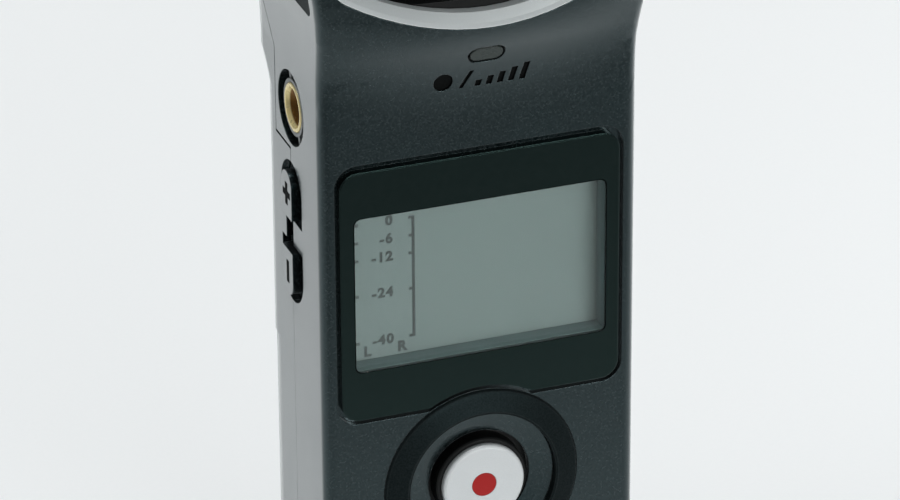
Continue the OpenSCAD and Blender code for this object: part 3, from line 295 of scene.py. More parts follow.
# %% Housing plastic
case_plastic = finish(
    "lacquered_case", ((0.0002, 0.0006, 0.0007), (0.0225, 0.028, 0.029)), (0.20, 0.27), mottle=7 * MM,
    flecks=(0.41, 0.73), grain=0.26 * MM, grain_height=0.004 * MM, edge=0.16 * MM,
    edge_wear_and_painted_light=(0.026, 0.030, 0.031),
    Specular_IOR_Level=0.4, Specular_Tint=(0.35, 0.9, 1.0, 1),
    Coat_Weight=1.0, Coat_Roughness=0.14, Coat_IOR=1.45,
    Sheen_Weight=0.28, Sheen_Roughness=0.35, Sheen_Tint=(0.9, 0.97, 1.0, 1))
dress(case_plastic, "rear_shell", "battery_door", "volume_up_key", "volume_down_key", "level_up_key",
      "level_down_key", "play_key", "forward_key", "rewind_key", "delete_key", "power_slider", "card_cover")

# %% [markdown]
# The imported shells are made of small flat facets. Shading them smoothly, but only where two facets meet
# at a shallow angle, brings back the curves and keeps the true edges crisp. A node group does this as a
# modifier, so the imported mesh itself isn't touched.

# %% Group that smooths shallow angles
SHELL_CREASE = math.radians(30)
RING_CREASE = math.radians(13.5)


def smoothing_group(name, crease):
    group = bpy.data.node_groups.new(name, "GeometryNodeTree")
    group.interface.new_socket("Geometry", in_out="INPUT", socket_type="NodeSocketGeometry")
    group.interface.new_socket("Geometry", in_out="OUTPUT", socket_type="NodeSocketGeometry")
    start = group.nodes.new("NodeGroupInput")
    end = group.nodes.new("NodeGroupOutput")
    edge_angle = group.nodes.new("GeometryNodeInputMeshEdgeAngle")
    steep = group.nodes.new("FunctionNodeCompare")
    steep.operation = "GREATER_THAN"
    steep.inputs[1].default_value = crease
    normals = group.nodes.new("GeometryNodeSetMeshNormal")
    normals.mode = "SHARPNESS"
    normals.inputs["Remove Custom"].default_value = True
    group.links.new(start.outputs[0], normals.inputs["Mesh"])
    group.links.new(edge_angle.outputs["Unsigned Angle"], steep.inputs[0])
    group.links.new(steep.outputs[0], normals.inputs["Edge Sharpness"])
    group.links.new(normals.outputs["Mesh"], end.inputs[0])
    return group


shell_shading = smoothing_group("shell_shading", SHELL_CREASE)
ring_shading = smoothing_group("ring_shading", RING_CREASE)
print("shading groups", len(bpy.data.node_groups))

# %% [markdown]
# Some curved pieces need more than that. Their facets are welded first, so that neighbours share their
# points, and the large faces then set the shading where they meet small ones. The trim ring isn't
# flattened, because its facets meet at such small angles that its curve would go with them.

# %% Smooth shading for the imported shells
WELD_DISTANCE = 0.002 * MM
FLAT_ANGLE = math.radians(0.4)
AREA_WEIGHT = 60


def smooth_creases(piece, group):
    shade = piece.modifiers.new("smooth", "NODES")
    shade.node_group = group


def smooth_curves(piece, group):
    smooth_creases(piece, group)
    weights = piece.modifiers.new("weights", "WEIGHTED_NORMAL")
    weights.mode = "FACE_AREA"
    weights.weight = AREA_WEIGHT
    weights.keep_sharp = True


def smooth_facets(piece, group, flatten=True):
    weld = piece.modifiers.new("weld", "WELD")
    weld.merge_threshold = WELD_DISTANCE
    if flatten:
        planes = piece.modifiers.new("planes", "DECIMATE")
        planes.decimate_type = "DISSOLVE"
        planes.angle_limit = FLAT_ANGLE
    smooth_curves(piece, group)


for name in ("rear_shell", "battery_door", "indicator_lens", "power_slider"):
    smooth_facets(nodes[name], shell_shading)
smooth_facets(nodes["trim_ring"], ring_shading, flatten=False)
print("shaded", len([o for o in nodes.values() if o.modifiers]), "nodes")

# %% [markdown]
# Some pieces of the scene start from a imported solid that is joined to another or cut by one. A boolean
# modifier does that well, if its meshes are clean and closed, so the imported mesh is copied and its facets
# are welded.

# %% Joining and cutting
COPY_FLAT_ANGLE = math.radians(0.3)


def clean_copy(name):
    """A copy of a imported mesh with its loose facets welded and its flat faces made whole."""
    skin = bmesh.new()
    skin.from_mesh(nodes[name].data)
    bmesh.ops.remove_doubles(skin, verts=skin.verts, dist=WELD_DISTANCE)
    bmesh.ops.dissolve_limit(skin, angle_limit=COPY_FLAT_ANGLE, verts=skin.verts, edges=skin.edges)
    mesh = bpy.data.meshes.new(name)
    skin.to_mesh(mesh)
    skin.free()
    if "custom_normal" in mesh.attributes:
        mesh.attributes.remove(mesh.attributes["custom_normal"])
    mesh.materials.clear()
    return mesh


def applied_mesh(thing):
    """The mesh of an object with its modifiers applied."""
    bpy.context.view_layer.update()
    return bpy.data.meshes.new_from_object(thing.evaluated_get(bpy.context.evaluated_depsgraph_get()))


def combine(mesh, other, operation, name):
    """Two closed meshes joined, or the second cut out of the first; a cut keeps the cutter's material."""
    keep = bpy.data.objects.new("keep", mesh)
    tool = bpy.data.objects.new("tool", other)
    for item in (keep, tool):
        scene.collection.objects.link(item)
    step = keep.modifiers.new("step", "BOOLEAN")
    step.operation = operation
    step.solver = "EXACT"
    step.material_mode = "TRANSFER"
    step.object = tool
    result = applied_mesh(keep)
    result.name = name
    for item in (keep, tool):
        bpy.data.objects.remove(item)
    return result


def open_edges(mesh):
    """The number of edges that don't join exactly two faces."""
    skin = bmesh.new()
    skin.from_mesh(mesh)
    count = sum(1 for edge in skin.edges if len(edge.link_faces) != 2)
    skin.free()
    return count


# %% [markdown]
# The front shell and the cage over the microphones are one moulding on the real recorder. The CAD keeps
# them as two solids that meet face to face, so here they are joined into one skin, and the hidden faces
# where they met go. Without this a faint line would cross the flared face.

# %% Skin of the front moulding
front_mesh = combine(clean_copy("front_shell"), clean_copy("mic_cage"), "UNION", "front_moulding")
front_mesh.materials.clear()
front_mesh.materials.append(case_plastic)
print("front moulding faces", len(front_mesh.polygons), "open edges", open_edges(front_mesh))

# %% [markdown]
# Above the keys the two shells meet in a line that is plain to see, and below them they meet so tightly
# that nothing shows. The solids leave the same small gap all the way down, so the front moulding's edge
# moves up to the rear shell there.

# %% Tight seam below the keys
SEAM_FRONT = 0.05 * MM
SEAM_BACK = 0.146 * MM
SEAM_TOP = 59.2 * MM
SEAM_TOLERANCE = 0.01 * MM


def on_seam(place):
    return abs(place.y - SEAM_FRONT) < SEAM_TOLERANCE and place.z < SEAM_TOP


seam_points = [vertex for vertex in front_mesh.vertices if on_seam(vertex.co)]
for point in seam_points:
    point.co.y = SEAM_BACK
print("seam points", len(seam_points))

# %% [markdown]
# Under the small lens the moulding carries a row of sunk marks, filled with black paint. Here it says
# what the lens shows in plain signs: a dot for recording, a stroke, and bars that rise for the level.
# Each sign is first drawn as an outline, in the distance from the middle and the height.

# %% Outlines of the sunk signs
SIGN_Z = 90.6 * MM
SIGN_HEIGHT = 2.4 * MM
DOT_X = -4.9 * MM
DOT_POINTS = 28
STROKE_X = -2.3 * MM
STROKE_WIDTH = 0.5 * MM
STROKE_SLANT = 0.5
BAR_X = -0.7 * MM
BAR_WIDTH = 0.75 * MM
BAR_PITCH = 1.4 * MM
BAR_SLANT = 0.2
BAR_HEIGHTS = (0.35, 0.5, 0.65, 0.82, 1.0)


def slanted(x, width, low, high, slant):
    """The four corners of an upright bar that leans to the right."""
    corners = ((x, low), (x + width, low), (x + width, high), (x, high))
    return [(corner_x + slant * corner_z, corner_z) for corner_x, corner_z in corners]


def sign_outlines():
    half = SIGN_HEIGHT / 2
    turns = [2 * math.pi * i / DOT_POINTS for i in range(DOT_POINTS)]
    outlines = [[(DOT_X + half * math.cos(angle), half * math.sin(angle)) for angle in turns]]
    outlines.append(slanted(STROKE_X, STROKE_WIDTH, -half, half, STROKE_SLANT))
    for i, share in enumerate(BAR_HEIGHTS):
        top = -half + share * SIGN_HEIGHT
        outlines.append(slanted(BAR_X + i * BAR_PITCH, BAR_WIDTH, -half, top, BAR_SLANT))
    return [[(x, SIGN_Z + z) for x, z in outline] for outline in outlines]


print("sign outlines", len(sign_outlines()))

# %% [markdown]
# A cutter then takes each outline into the moulding. The face is curved, so a ray is sent to it from each
# point of the outline, and the cut ends at an even depth behind the place that the ray finds. In that way
# the floor of a sign follows the face.

# %% Cutter for the sunk signs
SIGN_FRONT = -18 * MM
SIGN_DEPTH = 0.3 * MM
BACKWARD = Vector((0, 1, 0))


def add_prism(form, near_points, far_points):
    """A closed prism between two outlines with the same number of points."""
    near = [form.verts.new(point) for point in near_points]
    far = [form.verts.new(point) for point in far_points]
    form.faces.new(near)
    form.faces.new(far[::-1])
    for i in range(len(near)):
        j = (i + 1) % len(near)
        form.faces.new((near[j], near[i], far[i], far[j]))


def finished_mesh(form, name, triangles=False):
    bmesh.ops.recalc_face_normals(form, faces=form.faces)
    if triangles:
        bmesh.ops.triangulate(form, faces=form.faces)
    mesh = bpy.data.meshes.new(name)
    form.to_mesh(mesh)
    form.free()
    return mesh


def sunk_cutter(outlines, mesh):
    face = BVHTree.FromPolygons([v.co for v in mesh.vertices], [p.vertices for p in mesh.polygons])
    form = bmesh.new()
    for outline in outlines:
        near = [Vector((x, SIGN_FRONT, z)) for x, z in outline]
        far = [face.ray_cast(point, BACKWARD)[0] + SIGN_DEPTH * BACKWARD for point in near]
        add_prism(form, near, far)
    return finished_mesh(form, "sunk_cutter", triangles=True)


sign_paint = finish(
    "black_sign_paint", ((0.003, 0.0035, 0.0035), (0.007, 0.008, 0.008)), (0.7, 0.85), grain=0.1 * MM,
    grain_height=0.004 * MM, edge=0.05 * MM, Specular_IOR_Level=0.05)
cutter_mesh = sunk_cutter(sign_outlines(), front_mesh)
cutter_mesh.materials.append(sign_paint)
moulding_mesh = combine(front_mesh, cutter_mesh, "DIFFERENCE", "front_moulding")
print("moulding with signs", len(moulding_mesh.polygons), "faces")

# %% [markdown]
# The flared face is a smooth curve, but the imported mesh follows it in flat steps, and a glossy lacquer
# shows every step. The curve itself is known: the middle of the face leans forward by a power of the
# height, and the corners lean less, so each level is an arc. Each flare has the height where it starts,
# the height where it ends, its amount and its power. Lengths here are in millimetres.

# %% Curve of the flared face
FACE_Y = -10.7
FLARE = (84.0, 98.2, 4.8, 2.15)
CORNER_FLARE = (92.0, 102.6, 2.7, 1.0)
SIDE_FLARE = (88.9, 108.5, 2.0, 2.0)
HALF_WIDTH = 20.0
FLAT_SAG = 0.001
SLOPE_STEP = 0.05
SLOPE_REACH = 3.0


def eased(z, start, end, amount, power):
    return amount * min(max((z - start) / (end - start), 0), 1) ** power


def half_width(z):
    return HALF_WIDTH + eased(z, *SIDE_FLARE)


def face_depth(x, z):
    """The front face's place at a distance from the middle and a height."""
    middle = FACE_Y - eased(z, *FLARE)
    sag = max(FACE_Y - eased(z, *CORNER_FLARE) - middle, 0)
    if sag < FLAT_SAG:
        return middle
    half = half_width(z)
    radius = (half * half + sag * sag) / (2 * sag)
    return middle + radius - math.sqrt(max(radius * radius - x * x, 0))


def face_normal(x, z):
    """The slope of the face, softened over a reach so that the ends of the flare don't show as lines."""
    across = (face_depth(x + SLOPE_STEP, z) - face_depth(x - SLOPE_STEP, z)) / (2 * SLOPE_STEP)
    upward = (face_depth(x, z + SLOPE_REACH) - face_depth(x, z - SLOPE_REACH)) / (2 * SLOPE_REACH)
    return Vector((across, -1, upward)).normalized()


print("face at the middle", [round(face_depth(0, z), 2) for z in FLARE[:2]], "mm")

# %% [markdown]
# A fine grid of cuts gives the face more points, and those that lie wholly within it move on to the
# curve. Subdividing would give points too, but long thin facets would stay long and thin.

# %% Finer mesh for the flared face
CROWN_START = 125.0
GRID_STEP = 1.0
FACE_TOLERANCE = 0.06
FRONT_FACING = -0.5
CUT_DISTANCE = 0.001 * MM


def on_face(normal, points):
    """Whether a polygon lies on the flared part of the front face; its points are in millimetres."""
    if normal.y > FRONT_FACING or max(p.z for p in points) > CROWN_START:
        return False
    return all(abs(p.y - face_depth(p.x, p.z)) < FACE_TOLERANCE for p in points)


def face_lies_on(face):
    return on_face(face.normal, [vertex.co / MM for vertex in face.verts])


def grid_cuts():
    """A place in millimetres and a direction for each cut across the face."""
    start = FLARE[0]
    rows = range(1, int((CROWN_START - start) / GRID_STEP))
    reach = int(HALF_WIDTH / GRID_STEP)
    cuts = [((0, 0, start + i * GRID_STEP), (0, 0, 1)) for i in rows]
    return cuts + [((i * GRID_STEP, 0, 0), (1, 0, 0)) for i in range(-reach, reach + 1)]


def refine_face(mesh):
    skin = bmesh.new()
    skin.from_mesh(mesh)
    flared = [f for f in skin.faces if face_lies_on(f) and max(v.co.z for v in f.verts) > FLARE[0] * MM]
    area = list({item for face in flared for item in (face, *face.edges, *face.verts)})
    for place, across in grid_cuts():
        cut = bmesh.ops.bisect_plane(
            skin, geom=area, dist=CUT_DISTANCE, plane_co=Vector(place) * MM, plane_no=across)
        area = cut["geom"]
    inner = [point for point in skin.verts if all(face_lies_on(face) for face in point.link_faces)]
    for point in inner:
        point.co.y = face_depth(point.co.x / MM, point.co.z / MM) * MM
    print("points on the curve", len(inner))
    skin.to_mesh(mesh)
    skin.free()


refine_face(moulding_mesh)
print("moulding faces", len(moulding_mesh.polygons))

# %% [markdown]
# The moulding can now become a piece of the scene. It takes the place of the two imported solids and rides
# on the case body. The helper sets the body of every piece that the scene adds.

# %% Front moulding
def add_piece(name, mesh, material, body="case"):
    """A new piece that rides on a body; without a material it keeps those that its mesh has."""
    piece = bpy.data.objects.new(name, mesh)
    scene.collection.objects.link(piece)
    if material:
        mesh.materials.clear()
        mesh.materials.append(material)
    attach(piece, body)
    return piece


front_moulding = add_piece("front_moulding", moulding_mesh, None)
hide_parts("front_shell", "mic_cage")
smooth_curves(front_moulding, shell_shading)
print("front moulding", [material.name for material in moulding_mesh.materials])

# %% [markdown]
# Last comes the shading. Most of the moulding keeps the smooth shading from the modifiers, and on the
# flared face each corner of a facet gets the slope of the true curve. The rounded edges at the sides are
# left out, because they have a slope of their own.

# %% Shading of the flared face
EDGE_ROUND = 1.3


def shade_face(mesh):
    normals = [corner.vector.copy() for corner in mesh.corner_normals]
    shaded = 0
    for polygon in mesh.polygons:
        points = [mesh.vertices[i].co / MM for i in polygon.vertices]
        if not on_face(polygon.normal, points):
            continue
        for loop, point in zip(polygon.loop_indices, points):
            if abs(point.x) < half_width(point.z) - EDGE_ROUND:
                normals[loop] = face_normal(point.x, point.z)
                shaded += 1
    mesh.normals_split_custom_set(normals)
    print("corners shaded by the curve", shaded, "of", len(normals))


shaded_mesh = applied_mesh(front_moulding)
shade_face(shaded_mesh)
front_moulding.modifiers.clear()
front_moulding.data = shaded_mesh
print("open edges", open_edges(shaded_mesh))

# %% [markdown]
# The keys on the two sides carry a plus and a minus, filled with the same black paint. The keys have
# shallow grooves for them, and a sign here is a flat bar that fills its groove and rides on its key. The
# two signs of a pair sit a little closer together than the middles of their keys.

# %% Signs on the side keys
SIGN_SHIFT = 0.5 * MM
SIGN_ARM = 1.45 * MM
SIGN_ARM_ACROSS = 1.3 * MM
SIGN_HALF_WIDTH = 0.42 * MM
PAINT_PROUD = 0.02 * MM
PAINT_SUNK = 0.1 * MM


def plus_outline(arm, across, half):
    return [(half, half), (half, arm), (-half, arm), (-half, half), (-across, half), (-across, -half),
            (-half, -half), (-half, -arm), (half, -arm), (half, -half), (across, -half), (across, half)]


def minus_outline(arm, half):
    return [(half, arm), (-half, arm), (-half, -arm), (half, -arm)]


def key_sign(name, key, outline, shift, side):
    low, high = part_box(key)
    middle = (low + high) / 2
    face = low.x if side < 0 else high.x
    outline = [(middle.y + y, middle.z + shift + z) for y, z in outline]
    form = bmesh.new()
    add_prism(form, [(face + side * PAINT_PROUD, y, z) for y, z in outline],
              [(face - side * PAINT_SUNK, y, z) for y, z in outline])
    return add_piece(name, finished_mesh(form, name), sign_paint, key)


plus = plus_outline(SIGN_ARM, SIGN_ARM_ACROSS, SIGN_HALF_WIDTH)
minus = minus_outline(SIGN_ARM, SIGN_HALF_WIDTH)
for kind, side in (("volume", -1), ("level", 1)):
    key_sign(f"{kind}_plus", f"{kind}_up_key", plus, -SIGN_SHIFT, side)
    key_sign(f"{kind}_minus", f"{kind}_down_key", minus, SIGN_SHIFT, side)

# %% [markdown]
# The window over the display is one clear sheet whose border is printed black from behind. Here it is
# made as two pieces in one outline: a black border with a thin lip at the front, and a clear pane that
# fills it. The lip keeps the print thin, so the pale frame inside shows right up to the edge of the
# print. Both start from the same rings of points, with a skin drawn through them.

# %% Rings of the display window
WINDOW_WIDTH = 32.1 * MM
WINDOW_HEIGHT = 20.6 * MM
WINDOW_CORNER = 0.9 * MM
LIP = 1.0 * MM
LIP_DEPTH = 0.12 * MM
CORNER_STEPS = 8

plate_low, plate_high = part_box("window_plate")
panel_low, panel_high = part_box("display_panel")
display_middle = (panel_low.z + panel_high.z) / 2


def rounded_outline(width, height, corner):
    points = []
    for quarter, (side_x, side_z) in enumerate(((1, 1), (-1, 1), (-1, -1), (1, -1))):
        for step in range(CORNER_STEPS + 1):
            angle = math.pi / 2 * (quarter + step / CORNER_STEPS)
            points.append((side_x * (width / 2 - corner) + corner * math.cos(angle),
                           side_z * (height / 2 - corner) + corner * math.sin(angle)))
    return points


def flat_ring(outline, depth):
    return [(x, depth, display_middle + z) for x, z in outline]


def lofted(name, rings):
    """A closed skin through rings of equal length; each ring is a list of points."""
    form = bmesh.new()
    rows = [[form.verts.new(point) for point in ring] for ring in rings]
    count = len(rows[0])
    for lower, upper in zip(rows, rows[1:]):
        for i in range(count):
            j = (i + 1) % count
            form.faces.new((lower[i], lower[j], upper[j], upper[i]))
    form.faces.new(rows[0])
    form.faces.new(rows[-1])
    return finished_mesh(form, name)


def stepped_block(name, front, back):
    """The window's opening from the front to the lip, and the wider recess from there to the back."""
    opening = rounded_outline(WINDOW_WIDTH, WINDOW_HEIGHT, WINDOW_CORNER)
    recess = rounded_outline(WINDOW_WIDTH + 2 * LIP, WINDOW_HEIGHT + 2 * LIP, WINDOW_CORNER + LIP)
    step = plate_low.y + LIP_DEPTH
    return lofted(name, [flat_ring(opening, front), flat_ring(opening, step),
                         flat_ring(recess, step), flat_ring(recess, back)])


print("plate from", round(plate_low.y / MM, 2), "to", round(plate_high.y / MM, 2), "mm")

# %% [markdown]
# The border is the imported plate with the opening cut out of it. It is a touch slimmer than the plate, so
# that the groove round it shows as a dark line. The pane throws no shadow, because a clear sheet lets the
# light in.

# %% Border and pane of the window
GROOVE = 0.14 * MM
CUT_SPARE = 1 * MM

pane_mesh = stepped_block("window_pane", plate_low.y, plate_high.y)
pocket_mesh = stepped_block("pocket", plate_low.y - CUT_SPARE, plate_high.y + CUT_SPARE)
border_mesh = combine(clean_copy("window_plate"), pocket_mesh, "DIFFERENCE", "window_border")
plate_middle = (plate_low + plate_high) / 2
plate_size = plate_high - plate_low
slimmer = Matrix.Diagonal((1 - 2 * GROOVE / plate_size.x, 1, 1 - 2 * GROOVE / plate_size.z, 1))
border_mesh.transform(Matrix.Translation(plate_middle) @ slimmer @ Matrix.Translation(-plate_middle))

gloss_black = finish(
    "glossy_black_print", ((0.0035, 0.0052, 0.0050), (0.006, 0.008, 0.0078)), (0.06, 0.13), mottle=9 * MM,
    grain=0.6 * MM, grain_height=0.0006 * MM, edge=0.1 * MM, edge_wear_and_painted_light=(0.006, 0.007, 0.007),
    Specular_IOR_Level=0.42, Specular_Tint=(0.55, 1.0, 0.93, 1))
window_border = add_piece("window_border", border_mesh, gloss_black)
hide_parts("window_plate")

clear_plastic = finish(
    "clear_window", ((0.97, 0.99, 0.985), (1.0, 1.0, 1.0)), (0.02, 0.05), mottle=11 * MM, grain=0.8 * MM,
    grain_height=0.0003 * MM, edge=0.03 * MM, Transmission_Weight=1.0, IOR=1.47)
window_pane = add_piece("window_pane", pane_mesh, clear_plastic)
window_pane.visible_shadow = False
for piece in (window_border, window_pane):
    smooth_creases(piece, shell_shading)
    print(piece.name, len(piece.data.polygons), "faces")

# %% [markdown]
# The display is a reflective liquid crystal panel: a grey-green sheet that is lit only by the room, in a
# frame that is a little darker.

# %% Display panel
panel_grey = finish(
    "display_film", ((0.119, 0.163, 0.156), (0.128, 0.173, 0.165)), (0.42, 0.55), mottle=14 * MM,
    grain=0.25 * MM, grain_height=0.001 * MM, edge=0.05 * MM, Specular_IOR_Level=0.3)
frame_grey = finish(
    "display_frame", ((0.1, 0.165, 0.162), (0.118, 0.19, 0.186)), (0.5, 0.6), grain=0.2 * MM,
    edge=0.08 * MM)
dress(panel_grey, "display_panel")
dress(frame_grey, "panel_holder")

# %% [markdown]
# The level scale lies on the panel as thin dark marks. They are cut as real shapes and not painted on, so
# that they stay sharp from any distance. First come the upright line and the small strokes at each level.

# %% Lines of the level scale
LEVELS = (0, -6, -12, -24, -40)
LEVEL_TOP = 71.8 * MM
LEVEL_STEP = 0.3955 * MM
SCALE_X = -7.45 * MM
SCALE_LINE = 0.4 * MM
TICK = 0.6 * MM
LEFT_TICKS = -15.2 * MM
LEFT_TICK = 0.85 * MM
INK_PROUD = 0.012 * MM
LINE_DEPTH = 0.01 * MM

scale_ink = finish(
    "display_ink", ((0.030, 0.044, 0.042), (0.038, 0.052, 0.050)), (0.45, 0.55), grain=0.2 * MM,
    edge=0.02 * MM, Specular_IOR_Level=0.3)
ink_y = panel_low.y - INK_PROUD


def level_height(value):
    return LEVEL_TOP + LEVEL_STEP * value


def add_bar(form, left, right, bottom, top):
    """A thin flat bar that faces the front."""
    corners = [(left, bottom), (right, bottom), (right, top), (left, top)]
    add_prism(form, [(x, ink_y, z) for x, z in corners], [(x, ink_y + LINE_DEPTH, z) for x, z in corners])


half_line = SCALE_LINE / 2
lines = bmesh.new()
add_bar(lines, SCALE_X - half_line, SCALE_X + half_line,
        level_height(LEVELS[-1]) - half_line, level_height(LEVELS[0]) + half_line)
for value in LEVELS:
    z = level_height(value)
    add_bar(lines, SCALE_X - TICK, SCALE_X - half_line, z - half_line, z + half_line)
    add_bar(lines, LEFT_TICKS, LEFT_TICKS + LEFT_TICK, z - half_line, z + half_line)
scale_lines = add_piece("scale_lines", finished_mesh(lines, "scale_lines"), scale_ink)
print("scale lines", len(scale_lines.data.polygons), "faces")

# %% [markdown]
# The numbers and the two letters come from Blender's own typeface. It is a little thin and narrow for a
# display, so its strokes get some weight and the characters some space. They are turned into meshes at
# once, so that they are handled like every other piece.

# %% Numbers and letters of the display
NUMBER_EDGE = -10.05 * MM
NUMBER_HEIGHT = 1.23 * MM
LETTER_Z = 54.72 * MM
LETTER_HEIGHT = 1.3 * MM
LETTER_PLACES = (("left_letter", "L", -13.4 * MM), ("right_letter", "R", -9.0 * MM))
CAPITAL_SHARE = 0.7
STROKE_WEIGHT = 0.09 * MM
CHARACTER_SPACE = 1.2
CHARACTER_DEPTH = 0.008 * MM
CURVE_STEPS = 6


def lettering(name, text, x, z, height, align):
    """Flat characters that stand upright and face the front."""
    curve = bpy.data.curves.new(name, "FONT")
    curve.body = text
    curve.align_x = align
    curve.align_y = "CENTER"
    curve.size = height / CAPITAL_SHARE
    curve.extrude = CHARACTER_DEPTH / 2
    curve.offset = STROKE_WEIGHT
    curve.space_character = CHARACTER_SPACE
    curve.resolution_u = CURVE_STEPS
    label = bpy.data.objects.new(name, curve)
    label.matrix_world = Matrix.Translation((x, ink_y, z)) @ Matrix.Rotation(math.pi / 2, 4, "X")
    scene.collection.objects.link(label)
    mesh = applied_mesh(label)
    mesh.transform(label.matrix_world)
    mesh.name = name
    bpy.data.objects.remove(label)
    return add_piece(name, mesh, scale_ink)


for value in LEVELS:
    lettering(f"level_{abs(value)}", str(value), NUMBER_EDGE, level_height(value), NUMBER_HEIGHT, "RIGHT")
for name, letter, x in LETTER_PLACES:
    lettering(name, letter, x, LETTER_Z, LETTER_HEIGHT, "CENTER")

# %% [markdown]
# The round button in the middle is the one that everybody looks for. Its raised ring and its body are
# black, its cap is a satin silver and the dot is red. The ring mirrors very little, because a glossier
# one would show the low lamp as a bright patch.

# %% Record button
# The paler edge colour of the black ring is a painted highlight along its rounded edges.
ring_black = finish(
    "satin_black_ring", ((0.005, 0.0078, 0.0082), (0.013, 0.0172, 0.018)), (0.3, 0.4), mottle=5 * MM,
    grain=0.2 * MM, grain_height=0.004 * MM, edge=0.25 * MM, edge_wear_and_painted_light=(0.075, 0.085, 0.088),
    Specular_IOR_Level=0.05, Specular_Tint=(0.6, 0.95, 1.0, 1))
satin_silver = finish(
    "satin_silver_paint", ((0.715, 0.745, 0.752), (0.76, 0.79, 0.796)), (0.38, 0.46), mottle=5 * MM,
    grain=0.08 * MM, grain_height=0.003 * MM, edge=0.12 * MM, edge_wear_and_painted_light=(0.75, 0.77, 0.77), Metallic=0.25)
red_paint = finish(
    "red_paint", ((0.385, 0.005, 0.005), (0.44, 0.008, 0.007)), (0.35, 0.45), grain=0.1 * MM,
    grain_height=0.002 * MM, edge=0.05 * MM, Specular_IOR_Level=0.35)
black_plastic = finish(
    "black_plastic", ((0.003, 0.0036, 0.0036), (0.006, 0.0066, 0.0066)), (0.35, 0.5), grain=0.12 * MM,
    grain_height=0.006 * MM, edge=0.1 * MM, edge_wear_and_painted_light=(0.02, 0.022, 0.022), Specular_IOR_Level=0.25)
dress(ring_black, "record_ring")
dress(satin_silver, "record_cap")
dress(red_paint, "record_dot")
dress(black_plastic, "record_button", "mic_base", "mic_cradle", "left_switch_knob", "middle_switch_knob",
      "right_switch_knob", "rear_switches", "loudspeaker", "board_chips")

# %% [markdown]
# The ring round the microphones is painted silver, a little darker than the cap. The capsules behind it
# are turned metal, and the fine mesh over each of them is nearly black.

# %% Trim ring and microphones
# The pale edge colour of this paint is a painted highlight along the crest of the ring.
ring_silver = finish(
    "silver_ring_paint", ((0.59, 0.63, 0.63), (0.65, 0.69, 0.69)), (0.34, 0.42), mottle=6 * MM,
    grain=0.07 * MM, grain_height=0.003 * MM, edge=0.1 * MM, edge_wear_and_painted_light=(0.95, 0.97, 0.97), Metallic=0.35)
turned_metal = finish(
    "turned_metal", ((0.55, 0.56, 0.56), (0.66, 0.67, 0.67)), (0.25, 0.4), grain=0.1 * MM,
    grain_height=0.003 * MM, Metallic=1.0)
dark_mesh = finish(
    "dark_mesh", ((0.02, 0.02, 0.02), (0.05, 0.05, 0.05)), (0.35, 0.5), grain=0.2 * MM, Metallic=0.8)
dress(ring_silver, "trim_ring")
dress(turned_metal, "lower_capsule", "upper_capsule")
dress(dark_mesh, "lower_grille", "upper_grille")

# %% [markdown]
# The small metal parts are plated steel, apart from the brass insert for a tripod. The bodies of the two
# jacks get a grey colour that shows as a collar round the sleeve. The grey is a painted sheen for the
# glancing gloss that makes that collar look pale.

# %% Small metal parts and jacks
steel = finish(
    "plated_steel", ((0.50, 0.51, 0.51), (0.60, 0.61, 0.61)), (0.25, 0.38), grain=0.15 * MM,
    grain_height=0.003 * MM, Metallic=1.0)
brass = finish(
    "turned_brass", ((0.66, 0.50, 0.24), (0.74, 0.58, 0.31)), (0.25, 0.38), grain=0.15 * MM,
    grain_height=0.003 * MM, edge_wear_and_painted_light=(0.85, 0.74, 0.5), Metallic=0.9)
# Painted sheen: this grey stands in for the glancing gloss that makes the collar of each jack look pale.
jack_sheen_grey = finish(
    "jack_grey_painted_sheen", ((0.20, 0.215, 0.215), (0.235, 0.25, 0.25)), (0.3, 0.42), grain=0.15 * MM,
    grain_height=0.004 * MM, edge=0.15 * MM, edge_wear_and_painted_light=(0.2, 0.21, 0.21), Specular_IOR_Level=0.6)
dress(steel, "usb_socket", "card_pin", "card_socket", "negative_contact", "positive_contact",
      "press_switches", "case_screws")
dress(brass, "tripod_insert")
dress(jack_sheen_grey, "headphone_jack", "line_jack")

# %% [markdown]
# The gold sleeve of a jack is turned on a lathe, with a thin rim and a funnel that leads the plug in. The
# solid in the CAD has the same outside and a plain bore, so a finer sleeve takes its place: one profile,
# turned round the axis. The gold is painted browner with depth. This is painted shade for the dim light in
# the bore, which has met the gold several times.

# %% Gold finish and profile of the jack sleeves
# Painted shade in the bore: the gold turns to this brown between these two distances from the middle plane.
BORE_PAINTED_SHADE = (0.2, 0.085, 0.004)
BORE_STARTS = 19.42 * MM
BORE_DARKEST = 19.25 * MM
PLUG_RADIUS = 1.8 * MM
RIM_RADIUS = 2.72 * MM
FUNNEL = ((0, 0), (0.16, 0.06), (0.3, 0.25), (0.55, 0.75))
THROAT = ((0.08, 1.15), (0, 1.4))
OUTER_ROUND = ((0, 0.22), (0.07, 0.07), (0.22, 0))

gold = finish(
    "gold_plate", ((1.0, 0.80, 0.36), (1.0, 0.86, 0.45)), (0.2, 0.3), grain=0.2 * MM,
    grain_height=0.002 * MM, edge_wear_and_painted_light=(0.98, 0.9, 0.7),
    painted_bore_shade=(BORE_PAINTED_SHADE, BORE_STARTS, BORE_DARKEST), Metallic=0.35)
dress(gold, "headphone_ferrule", "line_ferrule")


def sleeve_profile(radius, length):
    """Points of a radius and a depth, from the rim down the funnel and the bore and back up the outside."""
    profile = [(RIM_RADIUS - inward * MM, depth * MM) for inward, depth in FUNNEL]
    profile += [(PLUG_RADIUS + outward * MM, depth * MM) for outward, depth in THROAT]
    profile += [(PLUG_RADIUS, length), (radius, length)]
    return profile + [(radius - inward * MM, depth * MM) for inward, depth in OUTER_ROUND]


# %% [markdown]
# The profile is turned in even steps round the axis of the jack, and each row of points is joined to the
# next. A modifier could turn it too, but the loop gives the mesh at once and closes it.

# %% Jack sleeves
TURN_STEPS = 64


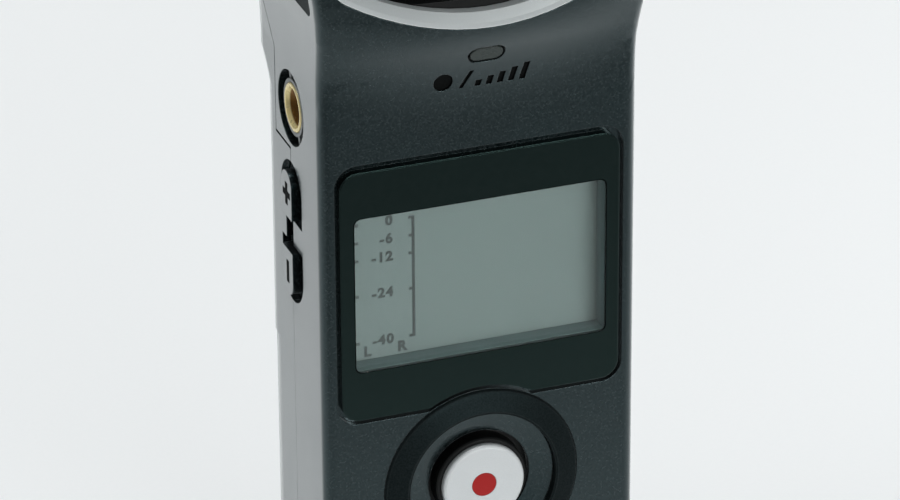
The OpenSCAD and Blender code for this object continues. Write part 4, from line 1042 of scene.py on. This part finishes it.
def turned_sleeve(name, node, side):
    low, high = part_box(node)
    middle = (low + high) / 2
    face = low.x if side < 0 else high.x
    profile = sleeve_profile((high.z - low.z) / 2, high.x - low.x)
    form = bmesh.new()
    rows = []
    for step in range(TURN_STEPS):
        angle = 2 * math.pi * step / TURN_STEPS
        y, z = math.cos(angle), math.sin(angle)
        rows.append([form.verts.new((face - side * depth, middle.y + radius * y, middle.z + radius * z))
                     for radius, depth in profile])
    for row, following in zip(rows, rows[1:] + rows[:1]):
        for i in range(len(profile)):
            j = (i + 1) % len(profile)
            form.faces.new((row[i], row[j], following[j], following[i]))
    sleeve = add_piece(name, finished_mesh(form, name), gold)
    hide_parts(node)
    smooth_creases(sleeve, shell_shading)


turned_sleeve("headphone_sleeve", "headphone_ferrule", -1)
turned_sleeve("line_sleeve", "line_ferrule", 1)

# %% [markdown]
# The small lens above the display is a smoky strip of clear plastic. The board, its chips and the cell
# are seen only when the covers are open, and they still get their own finishes.

# %% Lens, boards and cell
# The near-black edge colour of the lens is painted shade: a dark outline for the shadowed gap round it.
smoky_lens = finish(
    "smoky_lens", ((0.027, 0.038, 0.035), (0.032, 0.044, 0.040)), (0.2, 0.3), grain=0.4 * MM,
    grain_height=0.0003 * MM, edge=0.3 * MM, edge_wear_and_painted_light=(0.001, 0.0015, 0.0015), Specular_IOR_Level=0.4)
board_green = finish(
    "board_lacquer", ((0.012, 0.075, 0.035), (0.02, 0.10, 0.05)), (0.3, 0.42), mottle=3 * MM,
    grain=0.5 * MM)
cell_sleeve = finish(
    "cell_sleeve", ((0.30, 0.31, 0.33), (0.36, 0.37, 0.39)), (0.28, 0.4), mottle=6 * MM, grain=0.3 * MM,
    Metallic=0.5)
dress(smoky_lens, "indicator_lens")
dress(board_green, "main_board", "switch_board")
dress(cell_sleeve, "battery_cell")

# %% [markdown]
# A node that was forgotten would still have the plain material of its slot, so those are listed.

# %% Last check
slots = [material["slot"] for material in frame["record"]["materials"]]
shown = {name: node for name, node in nodes.items() if not node.hide_render}
print("undressed", [name for name, node in shown.items() if node.material_slots[0].material.name in slots])
